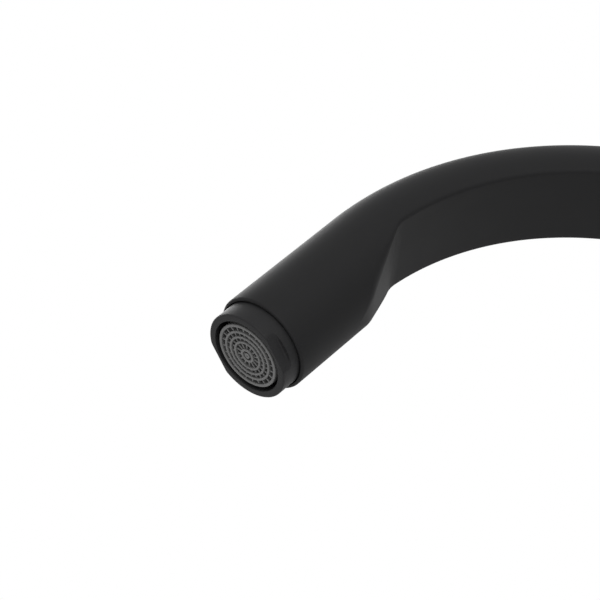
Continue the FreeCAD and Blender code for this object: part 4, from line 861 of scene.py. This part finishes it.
def thread_tree(material):
    """A core with its thread, copied round a circle."""
    tree, size = start_tree("metric_thread", (
        "Core Radius", "Pitch", "Turns", "Turn Step Count", "Start Level", "Circle Radius", "Copy Count"),
        shaped=True)
    foot = add(tree, "ShaderNodeMath", {0: size["Core Radius"], 1: TOOTH_SUNK}, operation="SUBTRACT")
    climb = add(tree, "ShaderNodeMath", {0: size["Pitch"], 1: size["Turns"]}, operation="MULTIPLY")
    path = add(tree, "GeometryNodeCurveSpiral", {
        "Resolution": size["Turn Step Count"], "Rotations": size["Turns"], "Start Radius": foot.outputs[0],
        "End Radius": foot.outputs[0], "Height": climb.outputs[0]})
    path = add(tree, "GeometryNodeSetCurveNormal", {"Curve": path.outputs["Curve"]}, mode="Z_UP")
    height = add(tree, "ShaderNodeMath", {0: size["Pitch"], 1: TOOTH_HEIGHT, 2: TOOTH_SUNK},
                 operation="MULTIPLY_ADD")
    crest = add(tree, "ShaderNodeMath", {0: size["Pitch"], 1: TOOTH_CREST}, operation="MULTIPLY")
    spread = add(tree, "ShaderNodeMath", {0: height.outputs[0], 1: FLANK_SPREAD, 2: crest.outputs[0]},
                 operation="MULTIPLY_ADD")
    tooth = add(tree, "GeometryNodeCurvePrimitiveQuadrilateral", {
        "Height": height.outputs[0], "Bottom Width": spread.outputs[0], "Top Width": crest.outputs[0],
        "Offset": 0.0}, mode="TRAPEZOID")
    half = add(tree, "ShaderNodeMath", {0: height.outputs[0], 1: -0.5}, operation="MULTIPLY")
    out = add(tree, "ShaderNodeCombineXYZ", {"X": half.outputs[0]})
    tooth = add(tree, "GeometryNodeTransform", {
        "Geometry": tooth.outputs["Curve"], "Translation": out.outputs["Vector"],
        "Rotation": (0, 0, math.pi / 2)})
    along = add(tree, "GeometryNodeSplineParameter")
    left = add(tree, "ShaderNodeMath", {0: 1.0, 1: along.outputs["Factor"]}, operation="SUBTRACT")
    nearer = add(tree, "ShaderNodeMath", {0: along.outputs["Factor"], 1: left.outputs[0]},
                 operation="MINIMUM")
    full = add(tree, "ShaderNodeMapRange", {
        "Value": nearer.outputs[0], "From Max": RUN_OUT, "To Min": THINNEST, "To Max": 1.0})
    thinned = add(tree, "GeometryNodeSetCurveRadius", {
        "Curve": path.outputs["Curve"], "Radius": full.outputs["Result"]})
    helix = add(tree, "GeometryNodeCurveToMesh", {
        "Curve": thinned.outputs["Curve"], "Profile Curve": tooth.outputs["Geometry"], "Fill Caps": True})
    start = add(tree, "ShaderNodeCombineXYZ", {"Z": size["Start Level"]})
    helix = add(tree, "GeometryNodeTransform", {
        "Geometry": helix.outputs["Mesh"], "Translation": start.outputs["Vector"]})
    union = add(tree, "GeometryNodeMeshBoolean", operation="UNION", solver="MANIFOLD")
    tree.links.new(size["Geometry"], union.inputs["Mesh 2"])
    tree.links.new(helix.outputs["Geometry"], union.inputs["Mesh 2"])
    place = add(tree, "ShaderNodeCombineXYZ", {"X": size["Circle Radius"]})
    screw = add(tree, "GeometryNodeTransform", {
        "Geometry": union.outputs["Mesh"], "Translation": place.outputs["Vector"]})
    copies = copies_round(tree, screw.outputs["Geometry"], size["Copy Count"])
    real = add(tree, "GeometryNodeRealizeInstances", {"Geometry": copies})
    painted = add(tree, "GeometryNodeSetMaterial", {
        "Geometry": real.outputs["Geometry"], "Material": material})
    add(tree, "NodeGroupOutput", {"Geometry": painted.outputs["Geometry"]})
    return tree


def core_radius(crest, pitch):
    """Radius of the core under a metric thread."""
    return crest - TOOTH_HEIGHT * pitch


print("a thread is", round(TOOTH_HEIGHT, 3), "of its pitch deep")

# %% Make the threaded shank
SHANK_RADIUS = 16.5
SHANK_BORE = 13.5
SHANK_LOW = -62.0
SHANK_TOP = 15.5
SHANK_PITCH = 1.5
SHANK_CHAMFER = 1.0
SHANK_EDGE = 0.3
SHANK_CHAMFER_RISE = 0.1
SHANK_TURNS = 49
SHANK_TURN_STEPS = 72


def make_shank():
    """The tube under the body, with its M33 x 1.5 thread."""
    core = core_radius(SHANK_RADIUS, SHANK_PITCH)
    tube = bmesh.new()
    spin(tube, [
        (SHANK_BORE, SHANK_LOW, SHANK_EDGE), (SHANK_RADIUS - SHANK_CHAMFER, SHANK_LOW),
        (core, SHANK_LOW + SHANK_CHAMFER_RISE), (core, SHANK_TOP), (SHANK_BORE, SHANK_TOP)])
    sizes = {"Core Radius": core, "Pitch": SHANK_PITCH, "Turns": SHANK_TURNS,
             "Turn Step Count": SHANK_TURN_STEPS, "Start Level": SHANK_LOW + SHANK_PITCH,
             "Circle Radius": 0.0, "Copy Count": 1}
    return grow(thread_tree(BRASS_UPRIGHT), "threaded_shank", tube, sizes, COLUMN, THREAD_SHARP)


threaded_shank = make_shank()
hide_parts("mounting_shank")
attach(threaded_shank, "mixer")

# %% Make the three socket screws
SCREW_RADIUS = 2.5
SCREW_PITCH = 0.8
SCREW_TURNS = 24.5
SCREW_LOW = -46.5
SCREW_TIP = -25.5
SCREW_TIP_RADIUS = 1.6
SCREW_CHAMFER = 0.3
SCREW_CIRCLE = 20.75
SCREW_COUNT = 3
SCREW_TURN_STEPS = 32
SOCKET_HALF_FLATS = 1.25
SOCKET_DEPTH = 2.0
SCREW_STEPS = 48


def screw_ring(radius, level, hexagonal=False):
    """A circle, or a hexagon between flats at this distance, with the same number of points."""
    points = []
    for step in range(SCREW_STEPS):
        angle = 2 * math.pi * step / SCREW_STEPS
        reach = radius / math.cos(angle % (math.pi / 3) - math.pi / 6) if hexagonal else radius
        points.append(Vector((reach * math.cos(angle), reach * math.sin(angle), level)))
    return points


def make_set_screws():
    """Three M5 x 0.8 set screws, with a hexagon socket below and a flat point above."""
    core = core_radius(SCREW_RADIUS, SCREW_PITCH)
    screw = bmesh.new()
    join_rings(screw, [
        screw_ring(SOCKET_HALF_FLATS, SCREW_LOW + SOCKET_DEPTH, hexagonal=True),
        screw_ring(SOCKET_HALF_FLATS, SCREW_LOW, hexagonal=True),
        screw_ring(core - SCREW_CHAMFER, SCREW_LOW), screw_ring(core, SCREW_LOW + SCREW_CHAMFER),
        screw_ring(core, SCREW_TIP - SCREW_CHAMFER), screw_ring(SCREW_TIP_RADIUS, SCREW_TIP)])
    sizes = {"Core Radius": core, "Pitch": SCREW_PITCH, "Turns": SCREW_TURNS,
             "Turn Step Count": SCREW_TURN_STEPS, "Start Level": SCREW_LOW + SCREW_PITCH,
             "Circle Radius": SCREW_CIRCLE, "Copy Count": SCREW_COUNT}
    return grow(thread_tree(STEEL), "set_screws", screw, sizes, COLUMN, THREAD_SHARP)


set_screws = make_set_screws()
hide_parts("clamp_screws")
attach(set_screws, "mixer")

# %% [markdown]
# ## Finishes for the pieces that keep their shape
# The other pieces have the right shape already, so they only need their finish. The record says
# which material slot each node has, and one table gives the finish of each slot. That is shorter
# than naming every piece. Only the brass pieces round the cartridge are named, because they turn
# about another axis than the column. The new spout and nozzle get their coats here too.

# %% Give every node its finish
FINISHES = {
    "black_coat": COAT, "raw_brass": BRASS_UPRIGHT, "steel": STEEL, "seal_rubber": RUBBER,
    "slide_plastic": WHITE_ACETAL, "cartridge_plastic": FILLED_PLASTIC, "ceramic": CERAMIC,
    "grey_acetal": GREY_ACETAL}
LEVEL_BRASS = ("cartridge_nut", "lever_stem")

for part in frame["record"]["subparts"]:
    finish = BRASS_LEVEL if part["node"] in LEVEL_BRASS else FINISHES[part["material_slot"]]
    for slot in frame["nodes"][part["node"]].material_slots:
        slot.material = finish
spout_skin.data.materials.append(COAT)
nozzle_ring.data.materials.append(NOZZLE_COAT)

# %% [markdown]
# ## Floor, sky and lamps
# The faucet is lit by a pale room. The sky is white where the camera or a reflection sees it, and
# softer where it lights the object. The floor glows a little in the same way, so that it stays pale
# far away and still takes the faucet's shadow. From below it is clear, so that the clamp can be seen.

# %% Build the stage
FLOOR_HALF_SIDE = 15000
FLOOR_SHARP = 30        # degrees
FLOOR_GLOW = 0.6        # share of the floor's own light in what the camera sees
SKY_LIGHT = 0.6         # the sky's strength where it lights the object
LAMP_AIM = (100, 0, 250)
LAMPS = (               # name, place, side and power in watts
    ("key", (500, -700, 1400), 900, 12),
    ("strip", (150, 1000, 73), 300, 3.5))


def seen_by_eye(tree):
    """1 for rays that the camera, a reflection or a clear piece sees, 0 for rays that only light."""
    path = add(tree, "ShaderNodeLightPath")
    seen = add(tree, "ShaderNodeMath", {0: path.outputs["Is Camera Ray"], 1: path.outputs["Is Glossy Ray"]},
               operation="MAXIMUM")
    seen = add(tree, "ShaderNodeMath", {0: seen.outputs[0], 1: path.outputs["Is Transmission Ray"]},
               operation="MAXIMUM")
    return seen.outputs[0]


def make_stage():
    """A pale floor under the faucet's lowest point."""
    work = bmesh.new()
    bmesh.ops.create_grid(work, x_segments=1, y_segments=1, size=FLOOR_HALF_SIDE)
    low = CAD_BOX[0].z / MM
    floor = mesh_object("floor", work, Matrix.Translation((0, 0, low)), FLOOR_SHARP)
    material, tree = start_material("floor_pale_paper")
    paper = add(tree, "ShaderNodeBsdfDiffuse", {"Color": colour("f0f0f0")})
    glow = add(tree, "ShaderNodeEmission", {"Color": WHITE, "Strength": 1.0})
    share = add(tree, "ShaderNodeMath", {0: seen_by_eye(tree), 1: FLOOR_GLOW}, operation="MULTIPLY")
    pale = add(tree, "ShaderNodeMixShader", {"Fac": share.outputs[0], 1: paper.outputs["BSDF"],
                                             2: glow.outputs["Emission"]})
    under = add(tree, "ShaderNodeNewGeometry").outputs["Backfacing"]
    clear = add(tree, "ShaderNodeBsdfTransparent")
    shown = add(tree, "ShaderNodeMixShader", {"Fac": under, 1: pale.outputs["Shader"],
                                              2: clear.outputs["BSDF"]})
    add(tree, "ShaderNodeOutputMaterial", {"Surface": shown.outputs["Shader"]})
    floor.data.materials.append(material)


def make_sky():
    """White to the camera and in reflections, softer as light."""
    world = bpy.data.worlds.new("room")
    world.use_nodes = True
    tree = world.node_tree
    tree.nodes.clear()
    strength = add(tree, "ShaderNodeMapRange", {
        "Value": seen_by_eye(tree), "To Min": SKY_LIGHT, "To Max": 1.0})
    light = add(tree, "ShaderNodeBackground", {"Color": WHITE, "Strength": strength.outputs["Result"]})
    add(tree, "ShaderNodeOutputWorld", {"Surface": light.outputs["Background"]})
    bpy.context.scene.world = world


def lamp(name, place, size, power):
    """A square soft lamp that points at the middle of the spout."""
    light = bpy.data.lights.new(name, "AREA")
    light.size = size * MM
    light.energy = power
    thing = bpy.data.objects.new(name, light)
    place = Vector(place) * MM
    turn = (place - Vector(LAMP_AIM) * MM).to_track_quat("Z", "Y")
    thing.matrix_world = Matrix.Translation(place) @ turn.to_matrix().to_4x4()
    bpy.context.scene.collection.objects.link(thing)


make_stage()
make_sky()
for row in LAMPS:
    lamp(*row)
bpy.context.scene.view_settings.view_transform = "Standard"
